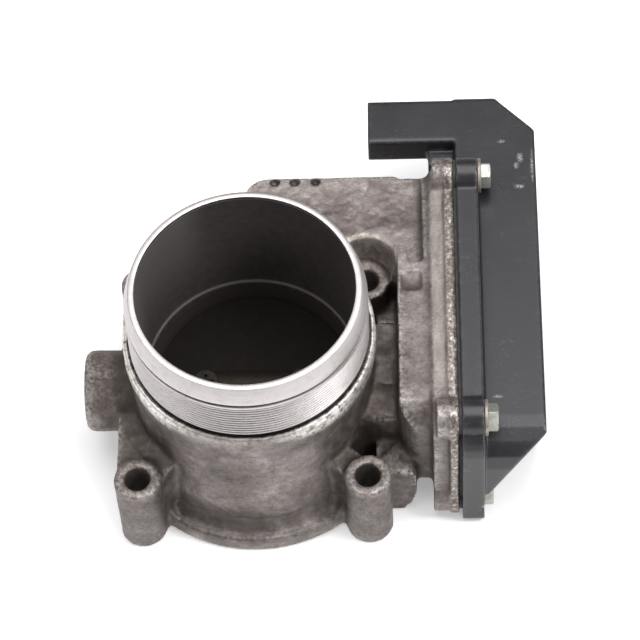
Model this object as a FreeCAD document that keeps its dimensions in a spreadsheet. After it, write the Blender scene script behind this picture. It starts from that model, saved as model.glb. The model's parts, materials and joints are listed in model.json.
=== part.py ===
import FreeCAD, Part
import Sketcher
import ast
import math
import os

V = FreeCAD.Vector
Rot = FreeCAD.Rotation

# Electronic throttle body.
# Frame: Z is the air bore axis, Z = 0 is the outlet flange face, the throttle
# shaft runs along X, +X is the gear cover side, +Y is the motor side.
doc = FreeCAD.newDocument("ThrottleBody")

# ----------------------------------------------------------------- dimensions
sheet = doc.addObject("Spreadsheet::Sheet", "Dims")
TABLE = [
    ("NeckRadius", 34.3, "hose neck outer radius"),
    ("NeckTop", 76.0, "height of the neck rim above the flange"),
    ("NeckBore", 31.0, "inlet bore radius"),
    ("RimRadius", 32.7, "radius at the rim after the lead-in cone"),
    ("GrooveRadius", 33.4, "radius of the hose groove"),
    ("CollarTop", 53.5, "top of the cast collar"),
    ("BarrelRadius", 36.3, "cast barrel radius"),
    ("PlateBore", 28.9, "bore radius at the plate"),
    ("StepHeight", 34.0, "height of the bore step"),
    ("FlangeRadius", 41.8, "outlet flange radius"),
    ("FlangeThick", 8.0, "outlet flange thickness"),
    ("BoltSpan", 33.0, "half the bolt spacing"),
    ("BossRadius", 6.9, "bolt boss radius"),
    ("BossTop", 28.5, "bolt boss height"),
    ("BoltHole", 3.5, "bolt hole radius"),
    ("ShaftHeight", 22.5, "shaft axis above the flange"),
    ("ShaftRadius", 5.0, "throttle shaft radius"),
    ("LeftEnd", -49.0, "left boss end face"),
    ("LeftBoss", 12.0, "left boss radius"),
    ("RightBoss", 14.0, "right boss radius"),
    ("NeedleSeat", 7.0, "needle bearing seat radius"),
    ("BallSeat", 11.0, "ball bearing seat radius"),
    ("PlateRadius", 28.8, "throttle plate radius"),
    ("PlateThick", 2.2, "throttle plate thickness"),
    ("LimpAngle", 6.0, "rest opening of the plate, degrees"),
    ("MotorY", 50.6, "motor axis offset"),
    ("MotorBore", 11.6, "motor bore radius"),
    ("MotorCan", 11.5, "motor can radius"),
    ("BlockFront", 31.9, "motor block front face"),
    ("BlockRear", 63.4, "motor block rear face"),
    ("BlockLeft", -3.0, "motor block left face"),
    ("BlockTop", 38.6, "motor block top face"),
    ("TubStart", 42.0, "gear tub back wall"),
    ("TubFloor", 45.5, "gear tub floor"),
    ("TubRim", 51.6, "start of the tub rim flange"),
    ("TubBand", 56.5, "start of the machined band"),
    ("TubFace", 59.2, "gasket face"),
    ("CoverStart", 60.0, "cover flange back face"),
    ("CoverFlange", 66.4, "cover flange front face"),
    ("CoverEnd", 84.0, "cover outer face"),
    ("CoverWall", 2.2, "cover wall"),
    ("DomeTop", 38.5, "top of the cover dome"),
    ("IdlerY", 24.0, "intermediate gear axis"),
    ("ScrewTopZ", 44.0, "height of the upper cover screws"),
    ("ScrewLowZ", 7.5, "height of the lower cover screws"),
    ("ScrewFrontY", -24.1, "upper front cover screw"),
    ("ScrewRearY", 58.9, "upper rear cover screw"),
    ("ScrewFootY", -27.4, "lower front cover screw"),
    ("ScrewHeelY", 59.5, "lower rear cover screw"),
    ("ScrewShank", 2.0, "cover screw shank radius"),
    ("SocketLeft", 34.0, "connector mouth"),
    ("SocketFront", 75.5, "connector front wall"),
    ("SocketRear", 91.9, "connector rear wall"),
    ("SocketLow", 28.9, "connector underside"),
]
NUM = {}
for row, (alias, value, note) in enumerate(TABLE, 1):
    sheet.set("A%d" % row, note)
    sheet.set("B%d" % row, repr(float(value)))
    sheet.setAlias("B%d" % row, alias)
    NUM[alias] = float(value)
doc.recompute()


def num(e):
    """Number behind a dimension expression made of +, -, *, / and aliases."""
    if not isinstance(e, str):
        return float(e)

    def walk(n):
        if isinstance(n, ast.BinOp):
            a, b = walk(n.left), walk(n.right)
            if isinstance(n.op, ast.Add):
                return a + b
            if isinstance(n.op, ast.Sub):
                return a - b
            if isinstance(n.op, ast.Mult):
                return a * b
            return a / b
        if isinstance(n, ast.UnaryOp):
            return -walk(n.operand)
        if isinstance(n, ast.Name):
            return NUM[n.id]
        return float(n.value)
    return walk(ast.parse(e).body[0].value)


def sheet_text(e, unit=" mm"):
    """The same expression for setExpression, with the sheet's name added."""
    out, word = "", ""
    for ch in e + " ":
        if ch.isalnum() or ch == "_" or (ch == "." and word):
            word += ch
        else:
            out += ("Dims." + word) if word in NUM else word
            word = ""
            out += ch
    return "(" + out.strip() + ") * 1" + unit


def bind(obj, prop, e, unit=" mm"):
    if isinstance(e, str):
        obj.setExpression(prop, sheet_text(e, unit))


# -------------------------------------------------------------------- helpers
def body(label, place=(0, 0, 0), turn=0.0):
    b = doc.addObject("PartDesign::Body", label)
    b.Label = label
    b.Placement = FreeCAD.Placement(V(*[num(c) for c in place]), Rot(V(1, 0, 0), turn))
    for axis, c in zip("xyz", place):
        bind(b, "Placement.Base." + axis, c)
    return b


def sketch(b, plane, off, loops, circles, name):
    sk = b.newObject("Sketcher::SketchObject", name)
    base = [f for f in b.Origin.OriginFeatures if f.Role == plane][0]
    sk.AttachmentSupport = [(base, "")]
    sk.MapMode = "FlatFace"
    sk.AttachmentOffset = FreeCAD.Placement(V(0, 0, num(off)), Rot())
    bind(sk, "AttachmentOffset.Base.z", off)
    for loop in loops:
        pts = [(num(a), num(c)) for a, c in loop]
        n = len(pts)
        ids = [sk.addGeometry(Part.LineSegment(V(pts[i][0], pts[i][1], 0),
                                               V(pts[(i + 1) % n][0], pts[(i + 1) % n][1], 0)), False)
               for i in range(n)]
        for i in range(n):
            sk.addConstraint(Sketcher.Constraint("Coincident", ids[i], 2, ids[(i + 1) % n], 1))
        for i in range(n):
            for kind, k, line in (("DistanceX", 0, -2), ("DistanceY", 1, -1)):
                if abs(pts[i][k]) < 1e-9:
                    sk.addConstraint(Sketcher.Constraint("PointOnObject", ids[i], 1, line))
                else:
                    c = sk.addConstraint(Sketcher.Constraint(kind, -1, 1, ids[i], 1, pts[i][k]))
                    bind(sk, "Constraints[%d]" % c, loop[i][k])
    for cx, cy, r in circles:
        g = sk.addGeometry(Part.Circle(V(num(cx), num(cy), 0), V(0, 0, 1), num(r)), False)
        c = sk.addConstraint(Sketcher.Constraint("Radius", g, num(r)))
        bind(sk, "Constraints[%d]" % c, r)
        for kind, e, line in (("DistanceX", cx, -2), ("DistanceY", cy, -1)):
            if abs(num(e)) < 1e-9:
                sk.addConstraint(Sketcher.Constraint("PointOnObject", g, 3, line))
            else:
                c = sk.addConstraint(Sketcher.Constraint(kind, -1, 1, g, 3, num(e)))
                bind(sk, "Constraints[%d]" % c, e)
    return sk


def pad(b, name, plane, off, length, loops=(), circles=()):
    sk = sketch(b, plane, off, loops, circles, name + "Sketch")
    f = b.newObject("PartDesign::Pad", name)
    f.Profile = sk
    f.Length = num(length)
    bind(f, "Length", length)
    return f


def cut(b, name, plane, off, length, loops=(), circles=()):
    """Pocket that removes material along the plane's normal; its volume is checked."""
    doc.recompute()
    before = b.Shape.Volume
    sk = sketch(b, plane, off, loops, circles, name + "Sketch")
    f = b.newObject("PartDesign::Pocket", name)
    f.Profile = sk
    f.Length = num(length)
    bind(f, "Length", length)
    f.Reversed = True
    doc.recompute()
    if b.Shape.Volume > before - 1e-3:
        raise RuntimeError(name + " removes nothing")
    return f


def turned(b, name, loop, axis="H_Axis", kind="PartDesign::Revolution"):
    doc.recompute()
    before = b.Shape.Volume if kind.endswith("Groove") else 0
    sk = sketch(b, "XZ_Plane", 0, [loop], (), name + "Sketch")
    f = b.newObject(kind, name)
    f.Profile = sk
    f.ReferenceAxis = (sk, [axis])
    f.Angle = 360.0
    if kind.endswith("Groove"):
        doc.recompute()
        if b.Shape.Volume > before - 1e-3:
            raise RuntimeError(name + " removes nothing")
    return f


def round_off(b, name, feature, radius, pick, kind="PartDesign::Fillet"):
    doc.recompute()
    edges = []
    for i, e in enumerate(feature.Shape.Edges, 1):
        if pick(e):
            edges.append("Edge%d" % i)
    if not edges:
        raise RuntimeError(name + " finds no edge")
    f = b.newObject(kind, name)
    f.Base = (feature, edges)
    if kind.endswith("Fillet"):
        f.Radius = num(radius)
        bind(f, "Radius", radius)
    else:
        f.Size = num(radius)
        bind(f, "Size", radius)
    return f


def straight(e, axis, *near):
    """A straight edge along axis whose middle is within 0.6 of a given point (None = any)."""
    if e.Curve.TypeId != "Part::GeomLine" or e.Length < 1e-6:
        return False
    d = e.Vertexes[-1].Point - e.Vertexes[0].Point
    k = "xyz".index(axis)
    if abs(abs(d[k]) - d.Length) > 1e-4:
        return False
    mid = (e.Vertexes[-1].Point + e.Vertexes[0].Point) * 0.5
    for pt in near:
        if all(c is None or abs(mid[j] - c) < 0.6 for j, c in enumerate(pt)):
            return True
    return not near


def ring_x(label, pts, place=(0, 0, "ShaftHeight"), turn=0.0):
    """Piece turned about an X-parallel axis through place; pts are (x, r)."""
    b = body(label, place, turn)
    turned(b, label + "Turn", pts)
    return b


def tube_pts(x0, x1, r0, r1, c=0.0):
    """Section of a tube from x0 to x1, r0 to r1, with an outer chamfer c."""
    if c:
        return [(x0, r0), (x1, r0), (x1, r1 + "-%g" % c if isinstance(r1, str) else r1 - c),
                (x1 + "-%g" % c if isinstance(x1, str) else x1 - c, r1),
                (x0 + "+%g" % c if isinstance(x0, str) else x0 + c, r1),
                (x0, r1 + "-%g" % c if isinstance(r1, str) else r1 - c)]
    return [(x0, r0), (x1, r0), (x1, r1), (x0, r1)]


def prim(kind, name, place=(0, 0, 0), axis=(0, 0, 1), **dims):
    o = doc.addObject("Part::" + kind, name)
    for k, v in dims.items():
        setattr(o, k, num(v))
        bind(o, k, v, "" if k == "Polygon" else (" deg" if "Angle" in k else " mm"))
    o.Placement = FreeCAD.Placement(V(*[num(c) for c in place]), Rot(V(0, 0, 1), V(*axis)))
    for a, c in zip("xyz", place):
        bind(o, "Placement.Base." + a, c)
    return o


def fuse(label, items):
    o = doc.addObject("Part::MultiFuse", label)
    o.Shapes = items
    o.Label = label
    return o


def minus(label, base, tool):
    o = doc.addObject("Part::Cut", label)
    o.Base = base
    o.Tool = tool
    o.Label = label
    return o


def group(label, items):
    o = doc.addObject("Part::Compound", label)
    o.Links = items
    o.Label = label
    return o


def rect(a0, b0, a1, b1):
    return [(a0, b0), (a1, b0), (a1, b1), (a0, b1)]


def rounded(a0, b0, a1, b1, r, steps=5):
    """Rectangle with corners rounded by short chords."""
    out = []
    for ca, cb, s in ((a1, b0, -90), (a1, b1, 0), (a0, b1, 90), (a0, b0, 180)):
        ia = "-" if ca is a1 or ca == a1 else "+"
        ib = "+" if cb is b0 or cb == b0 else "-"
        for i in range(steps + 1):
            t = math.radians(s + 90.0 * i / steps)
            da, db = r * (1 - abs(math.cos(t))), r * (1 - abs(math.sin(t)))
            out.append((num(ca) + (-da if ia == "-" else da), num(cb) + (db if ib == "+" else -db)))
    return out


def tight(a0, b0, a1, b1, r, rc):
    """Rounded rectangle whose corner at (a0, b0) has its own radius rc."""
    return rounded(a0, b0, a1, b1, r)[:18] + rounded(a0, b0, a1, b1, rc)[18:]


NODES = {}
SZ = "ShaftHeight"

# -------------------------------------------------------------------- housing
h_ = body("throttle_housing")
turned(h_, "Barrel", [
    (0, 0), ("FlangeRadius-0.6", 0), ("FlangeRadius", 0.6), ("FlangeRadius", "FlangeThick-1"),
    ("FlangeRadius-1", "FlangeThick"), ("BarrelRadius+0.4", "FlangeThick"),
    ("BarrelRadius", "CollarTop-0.8"), ("BarrelRadius-0.8", "CollarTop"),
    ("NeckRadius-0.5", "CollarTop"), ("NeckRadius-0.5", "CollarTop+0.7"),
    ("NeckRadius", "CollarTop+0.7"), ("NeckRadius", "NeckTop-7.3"),
    ("GrooveRadius", "NeckTop-7.3"), ("GrooveRadius", "NeckTop-6.3"),
    ("NeckRadius", "NeckTop-6.3"), ("NeckRadius", "NeckTop-5.2"),
    ("RimRadius", "NeckTop"), (0, "NeckTop")], "V_Axis")
pad(h_, "Bosses", "XY_Plane", 0, "BossTop",
    circles=[(sx + "BoltSpan", sy + "BoltSpan", "BossRadius") for sx in ("-", "0+") for sy in ("-", "0+")])
webs = []
for sx in (-1, 1):
    for sy in (-1, 1):
        k = 0.70711
        p0, p1, w = 28.0, 45.0, 4.2
        c = [(p0, -w), (p1, -w), (p1, w), (p0, w)]
        webs.append([(k * (sx * a - sx * t), k * (sy * a + sy * t)) for a, t in c])
pad(h_, "Webs", "XY_Plane", 0, "BossTop-1.6", loops=webs)
pad(h_, "TubWeb", "XY_Plane", 3, 16, loops=[rect(35.5, 23.5, "TubStart+1", 33)])
pad(h_, "LeftBossPad", "YZ_Plane", "LeftEnd", "20.5", circles=[(0, SZ, "LeftBoss")])
pad(h_, "RightBossPad", "YZ_Plane", 27, "TubStart-26.5", circles=[(0, SZ, "RightBoss")])
pad(h_, "RightBridge", "YZ_Plane", 31, "TubStart-30.5",
    loops=[[(-17.4, 10), (13.6, 10), (14.6, 33.5), (13.2, 35.8), (-7.2, 35.8), (-8.4, 34.6), (-16.4, 32.8), (-17.4, 31.6)]])
# flat web that ties the left boss to the front left bolt boss
pad(h_, "LeftWeb", "XY_Plane", 6, "BossTop-7", loops=[[(-39.3, -33.5), (-39.3, -9), (-30, -9), (-22.6, -28.9)]])
pad(h_, "RearLeftWeb", "XY_Plane", 6, "BossTop-9", loops=[[(-39.3, 33), (-39.3, 8), (-30, 8), (-24, 28)]])
# motor block with its saddle onto the barrel
blk = pad(h_, "MotorBlock", "YZ_Plane", "BlockLeft", "TubStart-BlockLeft+0.5",
          loops=[[("BlockFront", 16), ("BlockFront+2.6", 10), ("BlockFront+9", 6.4), ("BlockRear-9", 6.4),
                  ("BlockRear-2.6", 10), ("BlockRear", 16), ("BlockRear", "BlockTop"), ("BlockFront", "BlockTop")]])
pad(h_, "Saddle", "XY_Plane", 9, "BlockTop-11", loops=[[(-3, 27), (24, 27), (30.5, 22), (34.5, 26), (34.5, 34), (-3, 34)]])
# gear tub
pad(h_, "TubBody", "YZ_Plane", "TubStart", "TubRim-TubStart", loops=[rounded(-24, 3, 63.2, 44, 9)])
cut(h_, "RearStep", "XY_Plane", "BlockTop", 12, loops=[[(41, 32.6), (45.4, 32.6), (45.4, 29.4), (49.6, 29.4), (49.6, 66), (41, 66)]])
arc_cut = [(41, -26), (41, -17)] + [(49 - 7 * math.cos(math.radians(a)), -17 - 7 * math.sin(math.radians(a))) for a in range(0, 91, 15)] + [(49, -26)]
cut(h_, "TubCorner", "XY_Plane", -1, 60, loops=[arc_cut])
pad(h_, "TubRimPad", "YZ_Plane", "TubRim", "TubBand-TubRim", loops=[rounded(-29.6, 1.6, 64.4, 45.0, 9)],)
pad(h_, "TubBandPad", "YZ_Plane", "TubBand", "TubFace-TubBand", loops=[tight(-31.8, 0.8, 65.2, 45.6, 9, 2.5)])
# cover screw axes: y, z, where the ear starts, thread depth, seat depth in the cover
EARS = [("ScrewFrontY", "ScrewTopZ", 52.8, 5.6, 0.0), ("ScrewRearY", "ScrewTopZ", 52.8, 5.6, 0.0),
        ("ScrewFootY", "ScrewLowZ", 51.6, 6.9, 1.2), ("ScrewHeelY", "ScrewLowZ", 51.6, 6.9, 1.2)]
for i, (ey, ez, ex, ed, es) in enumerate(EARS):
    pad(h_, "TubEar%d" % i, "YZ_Plane", ex, "TubFace-%g" % ex, circles=[(ey, ez, 5.6)])
# bracket between the front right bolt boss and the tub
pad(h_, "LowerLug", "XZ_Plane", 17, 11.6, loops=[[(35, 0), (43.2, 0), (45.6, 3.2), (46.9, 8.5), (46.9, 19.4), (45.6, 21.3), (35, 21.3)]])
pad(h_, "LugWeb", "XY_Plane", 10, 12, loops=[[(35, -26), (43.5, -15.5), (46, -17.5), (38, -30)]])

# bores
turned(h_, "AirBore", [(0, -1), ("PlateBore", -1), ("PlateBore", 27.4), ("PlateBore+1.3", "StepHeight-1.2"), ("PlateBore+1.8", "StepHeight-0.7"), ("NeckBore", "StepHeight+4"),
                       ("NeckBore", "NeckTop-0.15"), ("NeckBore+0.2", "NeckTop+0.05"), ("NeckBore+0.2", "NeckTop+1"), (0, "NeckTop+1")], "V_Axis", "PartDesign::Groove")
cut(h_, "BoltHoles", "XY_Plane", -1, "BossTop+2",
    circles=[(sx + "BoltSpan", sy + "BoltSpan", "BoltHole") for sx in ("-", "0+") for sy in ("-", "0+")])
cut(h_, "ShaftBore", "YZ_Plane", "LeftEnd-1", "TubFloor-LeftEnd+2", circles=[(0, SZ, "ShaftRadius+0.2")])
cut(h_, "NeedleSeatCut", "YZ_Plane", "LeftEnd-1", 18.5, circles=[(0, SZ, "NeedleSeat")])
cut(h_, "PlugSeatCut", "YZ_Plane", "LeftEnd-1", 3.2, circles=[(0, SZ, "NeedleSeat+0.8")])
cut(h_, "SealSeatCut", "YZ_Plane", 31.5, 10, circles=[(0, SZ, 8)])
cut(h_, "BallSeatCut", "YZ_Plane", 38, 10, circles=[(0, SZ, "BallSeat")])
cut(h_, "MotorBoreCut", "YZ_Plane", 1, 50, circles=[("MotorY", SZ, "MotorBore")])
cut(h_, "TubCavity", "YZ_Plane", "TubFloor", "TubRim-TubFloor+0.2", loops=[[(-15, 5), (54, 5), (58, 6.8), (60, 11), (60, 30), (58.2, 34.4), (54, 36.2), (27, 36.2), (23, 38.5), (20, 41.8), (-15, 41.8), (-19.2, 40), (-21, 35.8), (-21, 11), (-19.2, 6.8)]])
cut(h_, "TubCavityOuter", "YZ_Plane", "TubRim", 20, loops=[rounded(-21.0, 5.0, 60.0, 41.8, 6)])
cut(h_, "TubMouth", "YZ_Plane", "TubRim+1.6", 20, loops=[rounded(-28.0, 2.4, 62.4, 43.0, 7)])
for i, (ey, ez, ex, ed, es) in enumerate(EARS):
    pad(h_, "Column%d" % i, "YZ_Plane", ex, "TubFace-%g" % ex, circles=[(ey, ez, 5.0)])
pad(h_, "PinBoss", "YZ_Plane", "TubFloor-1", 7.5, circles=[("IdlerY", SZ, 4.6)])
pad(h_, "StopRib", "YZ_Plane", "TubRim-1.5", "TubFace-TubRim+0.5", loops=[rect(-15.6, 33, -8.6, 43.8)])
cut(h_, "PinHole", "YZ_Plane", "TubFloor-2", 12, circles=[("IdlerY", SZ, 2.5)])
for i, (ey, ez, ex, ed, es) in enumerate(EARS):
    cut(h_, "ScrewHole%d" % i, "YZ_Plane", "TubFace-%g" % ed, 12, circles=[(ey, ez, "ScrewShank")])
cut(h_, "StopHole", "XY_Plane", 30, 12.4, circles=[(55.6, -12.1, 1.5)])
cut(h_, "MotorScrewHoles", "YZ_Plane", "TubFloor-3.2", 12,
    circles=[("MotorY-12.5", "ShaftHeight+7.5", 1.25), ("MotorY-12.5", "ShaftHeight-7.5", 1.25)])
# room for a bolt head beside the motor block
rec = cut(h_, "BoltRecess", "XY_Plane", "BossTop", 12, circles=[("BoltSpan", "BoltSpan", 7.0)])
rec.TaperAngle = 10
doc.recompute()
cut(h_, "BackRecess", "XY_Plane", 42.9, 3, loops=[rect(43.6, 19.4, 49.2, 25.6)])
# cast recesses on the top of the motor block and the lightening pockets below it
cut(h_, "DimplesTop", "XY_Plane", "BlockTop-0.9", 3, circles=[(6.1, 61.9, 1.1), (12.1, 61.9, 1.1), (18.3, 62.0, 1.1)])
doc.recompute()
tip = h_.Tip
round_off(h_, "RearLeftCorner", tip, 7.0, lambda e: straight(e, "z", (-3, 63.4, None)))
doc.recompute()
round_off(h_, "LeftBossRound", h_.Tip, 2.2,
          lambda e: e.Curve.TypeId == "Part::GeomCircle" and abs(e.Curve.Radius - 12) < 1e-3 and abs(e.Curve.Center.x + 49) < 1e-3)
doc.recompute()
round_off(h_, "BossChamfer", h_.Tip, 0.5,
          lambda e: e.Curve.TypeId == "Part::GeomCircle" and abs(e.Curve.Radius - 3.5) < 1e-3 and abs(e.Curve.Center.z - 28.5) < 1e-3,
          "PartDesign::Chamfer")
NODES["throttle_housing"] = h_

# ---------------------------------------------------- throttle shaft and plate
sh = body("throttle_shaft", (0, 0, SZ), NUM["LimpAngle"])
turned(sh, "ShaftTurn", [(-45.0, 0), (68.0, 0), (68.0, 3.2), (67.5, 3.7), (58.3, 3.7), (58.3, 4.0), (46.0, 4.0), (46.0, "ShaftRadius"),
                         (-44.5, "ShaftRadius"), (-45.0, "ShaftRadius-0.5")])
cut(sh, "PlateSlot", "XY_Plane", "0-PlateThick/2", "PlateThick", loops=[rect("0-PlateRadius", -8, "0+PlateRadius", 8)])
cut(sh, "PlateScrewHoles", "XY_Plane", -6, 12, circles=[(-14, 0, 2.0), (14, 0, 2.0)])
cut(sh, "PlateScrewSeats", "XY_Plane", 3.4, 4, circles=[(-14, 0, 3.7), (14, 0, 3.7)])
cut(sh, "RotorFlat", "YZ_Plane", 63.5, 6, loops=[rect(-5, 2.9, 5, 5)])
NODES["throttle_shaft"] = sh

pl = body("throttle_plate", (0, 0, SZ), NUM["LimpAngle"])
pad(pl, "PlateDisc", "XY_Plane", "0-PlateThick/2", "PlateThick", circles=[(0, 0, "PlateRadius")])
cut(pl, "PlateHoles", "XY_Plane", -3, 6, circles=[(-14, 0, 2.0), (14, 0, 2.0)])
NODES["throttle_plate"] = pl

plate_screws = []
for i, sx in enumerate((-14, 14)):
    b = body("PlateScrew%d" % i, (0, 0, SZ), NUM["LimpAngle"])
    pad(b, "PlateScrewShank%d" % i, "XY_Plane", -4.4, 7.8, circles=[(sx, 0, 2.0)])
    hd = pad(b, "PlateScrewHead%d" % i, "XY_Plane", 3.4, 1.9, circles=[(sx, 0, 3.5)])
    cut(b, "PlateScrewCross%d" % i, "XY_Plane", 4.3, 2, loops=[rect(sx - 2.2, -0.45, sx + 2.2, 0.45)])
    cut(b, "PlateScrewCrossB%d" % i, "XY_Plane", 4.3, 2, loops=[rect(sx - 0.45, -2.2, sx + 0.45, 2.2)])
    plate_screws.append(b)
NODES["plate_screws"] = group("plate_screws", plate_screws)

# -------------------------------------------------------------------- bearings
NODES["needle_bearing_shell"] = ring_x("needle_bearing_shell", [
    (-45.2, 5.3), (-44.7, 5.3), (-44.7, 6.5), (-35.8, 6.5), (-35.8, 5.3), (-35.3, 5.3), (-35.3, "NeedleSeat"), (-45.2, "NeedleSeat")])
needles = []
for i in range(14):
    a = 2 * math.pi * i / 14
    c = prim("Cylinder", "Needle%d" % i, (-44.2, 5.76 * math.cos(a), NUM[SZ] + 5.76 * math.sin(a)), (1, 0, 0), Radius=0.7, Height=7.9)
    needles.append(c)
NODES["needle_rollers"] = group("needle_rollers", needles)
NODES["shaft_bore_plug"] = ring_x("shaft_bore_plug", [
    (-48.4, 0), (-48.0, 0), (-47.3, 5.6), (-46.2, 5.6), (-46.2, 6.8), (-46.8, 6.9), (-46.8, "NeedleSeat+0.8"), (-48.4, "NeedleSeat+0.8"), (-48.8, 7.2), (-48.4, 6.2)])
seals = [ring_x("SealLeft", [(-35.0, 5.05), (-33.0, 5.05), (-33.0, 6.0), (-34.2, 6.0), (-34.2, 6.4), (-32.0, 6.4), (-32.0, "NeedleSeat"), (-35.0, "NeedleSeat")]),
         ring_x("SealRight", [(32.0, 7.2), (34.0, 7.2), (34.0, 5.8), (33.2, 5.05), (35.2, 5.05), (35.2, 8.0), (32.0, 8.0)])]
NODES["shaft_seals"] = group("shaft_seals", seals)

race = prim("Torus", "RaceGroove", (41.0, 0, SZ), (1, 0, 0), Radius1=8.0, Radius2=1.66)
race2 = prim("Torus", "RaceGrooveB", (41.0, 0, SZ), (1, 0, 0), Radius1=8.0, Radius2=1.66)
outer = ring_x("OuterRingBlank", tube_pts(38.0, 44.0, 9.1, "BallSeat", 0.3))
NODES["ball_bearing_outer_ring"] = minus("ball_bearing_outer_ring", outer, race)
inner = ring_x("InnerRingBlank", tube_pts(38.0, 44.0, "ShaftRadius", 6.9))
NODES["ball_bearing_inner_ring"] = minus("ball_bearing_inner_ring", inner, race2)
balls = []
for i in range(9):
    a = 2 * math.pi * i / 9
    balls.append(prim("Sphere", "Ball%d" % i, (41.0, 8.0 * math.cos(a), NUM[SZ] + 8.0 * math.sin(a)), Radius=1.6))
NODES["bearing_balls"] = group("bearing_balls", balls)
cage = ring_x("CageBlank", tube_pts(39.1, 42.9, 7.75, 8.25))
holes = []
for i in range(9):
    a = 2 * math.pi * i / 9
    holes.append(prim("Sphere", "CageHole%d" % i, (41.0, 8.0 * math.cos(a), NUM[SZ] + 8.0 * math.sin(a)), Radius=1.68))
NODES["ball_cage"] = minus("ball_cage", cage, fuse("CageHoles", holes))


# ----------------------------------------------------------------------- gears
def gear_outline(module, teeth, first=0, count=None, phase=0.0, backlash=0.07, full=True, root_ext=1.2):
    """Points (y, z) of involute teeth, pressure angle 25 degrees."""
    alpha = math.radians(25)
    rp = module * teeth / 2.0
    ra = rp + module * 0.95
    rf = rp - module * root_ext
    rb = rp * math.cos(alpha)
    half = math.pi / (2 * teeth) - backlash / (2 * rp)
    inv = math.tan(alpha) - alpha

    def ang(r):
        if r <= rb:
            return half + inv
        a = math.acos(rb / r)
        return half + inv - (math.tan(a) - a)
    r0 = max(rf, rb)
    rr = [rf] if rf < rb - 1e-6 else []
    rr += [r0 + (ra - r0) * k / 4.0 for k in range(5)]
    pts = []
    n = teeth if count is None else count
    for k in range(first, first + n):
        c = phase + 2 * math.pi * k / teeth
        for r in rr:
            pts.append((r * math.cos(c - ang(r)), r * math.sin(c - ang(r))))
        for r in reversed(rr):
            pts.append((r * math.cos(c + ang(r)), r * math.sin(c + ang(r))))
    return pts


def prism_x(pts, x0, x1, cy, cz):
    w = Part.makePolygon([V(x0, cy + a, cz + c) for a, c in pts] + [V(x0, cy + pts[0][0], cz + pts[0][1])])
    return Part.Face(w).extrude(V(x1 - x0, 0, 0))


def rod_x(x0, x1, r, cy, cz):
    return Part.makeCylinder(r, x1 - x0, V(x0, cy, cz), V(1, 0, 0))


def feature(label, shape):
    o = doc.addObject("Part::Feature", label)
    o.Shape = shape
    o.Label = label
    o.Placement = FreeCAD.Placement()
    return o


CZ = NUM[SZ]
IY = NUM["IdlerY"]
MY = NUM["MotorY"]
# sector gear, module 1, 36 teeth to the full circle, twelve present
arc = gear_outline(1.0, 36, -9, 12, 0.0)
arc = [(0.0, 0.0)] + [(16.7 * math.cos(math.radians(-96)), 16.7 * math.sin(math.radians(-96)))] + arc + \
      [(16.7 * math.cos(math.radians(26)), 16.7 * math.sin(math.radians(26)))]
sector = prism_x(arc, 53.6, 58.0, 0, CZ)
sector = sector.fuse(rod_x(46.2, 58.2, 7.0, 0, CZ)).removeSplitter()
arm = prism_x([(0, -2.5), (0, 2.5), (-13.4, 2.5), (-14.6, 1.3), (-14.6, -1.3), (-13.4, -2.5)], 53.6, 58.0, 0, CZ)
sector = sector.fuse(arm)
for deg in (-78, -50, -22):
    a = math.radians(deg)
    sector = sector.cut(rod_x(53, 59, 2.6, 11.6 * math.cos(a), CZ + 11.6 * math.sin(a)))
sector = sector.cut(rod_x(46, 59, 4.0, 0, CZ)).removeSplitter()
NODES["sector_gear"] = feature("sector_gear", sector)

idler = prism_x(gear_outline(1.0, 12, 0, None, math.pi / 12), 53.0, 58.8, IY, CZ)
big = prism_x(gear_outline(0.7, 54, 0, None, 0.0, 0.06), 58.8, 63.0, IY, CZ)
for k in range(5):
    a = 2 * math.pi * (k + 0.5) / 5
    big = big.cut(rod_x(58.7, 63.1, 4.2, IY + 11.6 * math.cos(a), CZ + 11.6 * math.sin(a)))
idler = idler.fuse(big).fuse(rod_x(52.3, 63.2, 4.2, IY, CZ))
idler = idler.cut(rod_x(52, 64, 2.55, IY, CZ)).removeSplitter()
NODES["intermediate_gear"] = feature("intermediate_gear", idler)
NODES["intermediate_gear_pin"] = ring_x("intermediate_gear_pin", [(43.6, 0), (64.0, 0), (64.0, 2.1), (63.6, 2.5), (43.6, 2.5)], (0, "IdlerY", SZ))

pinion = prism_x(gear_outline(0.7, 22, 0, None, math.pi / 22, 0.06), 58.5, 63.2, MY, CZ)
pinion = pinion.fuse(rod_x(55.4, 58.5, 3.6, MY, CZ)).cut(rod_x(55, 64, 1.5, MY, CZ)).removeSplitter()
NODES["motor_pinion"] = feature("motor_pinion", pinion)

# --------------------------------------------------------------- return spring
helix = doc.addObject("Part::Helix", "SpringLine")
helix.Pitch = 1.45
helix.Height = 5.8
helix.Radius = 9.0
helix.Placement = FreeCAD.Placement(V(46.9, 0, CZ), Rot(V(0, 0, 1), V(1, 0, 0)))
doc.recompute()
start = helix.Shape.Edges[0].valueAt(helix.Shape.Edges[0].FirstParameter)
tang = helix.Shape.Edges[0].tangentAt(helix.Shape.Edges[0].FirstParameter)
wire_circle = doc.addObject("Part::Circle", "SpringWire")
wire_circle.Radius = 0.55
wire_circle.Placement = FreeCAD.Placement(start, Rot(V(0, 0, 1), tang))
spring = doc.addObject("Part::Sweep", "return_spring")
spring.Sections = [wire_circle]
spring.Spine = (helix, ["Edge%d" % (i + 1) for i in range(len(helix.Shape.Edges))])
spring.Solid = True
spring.Frenet = True
spring.Label = "return_spring"
NODES["return_spring"] = spring

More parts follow.
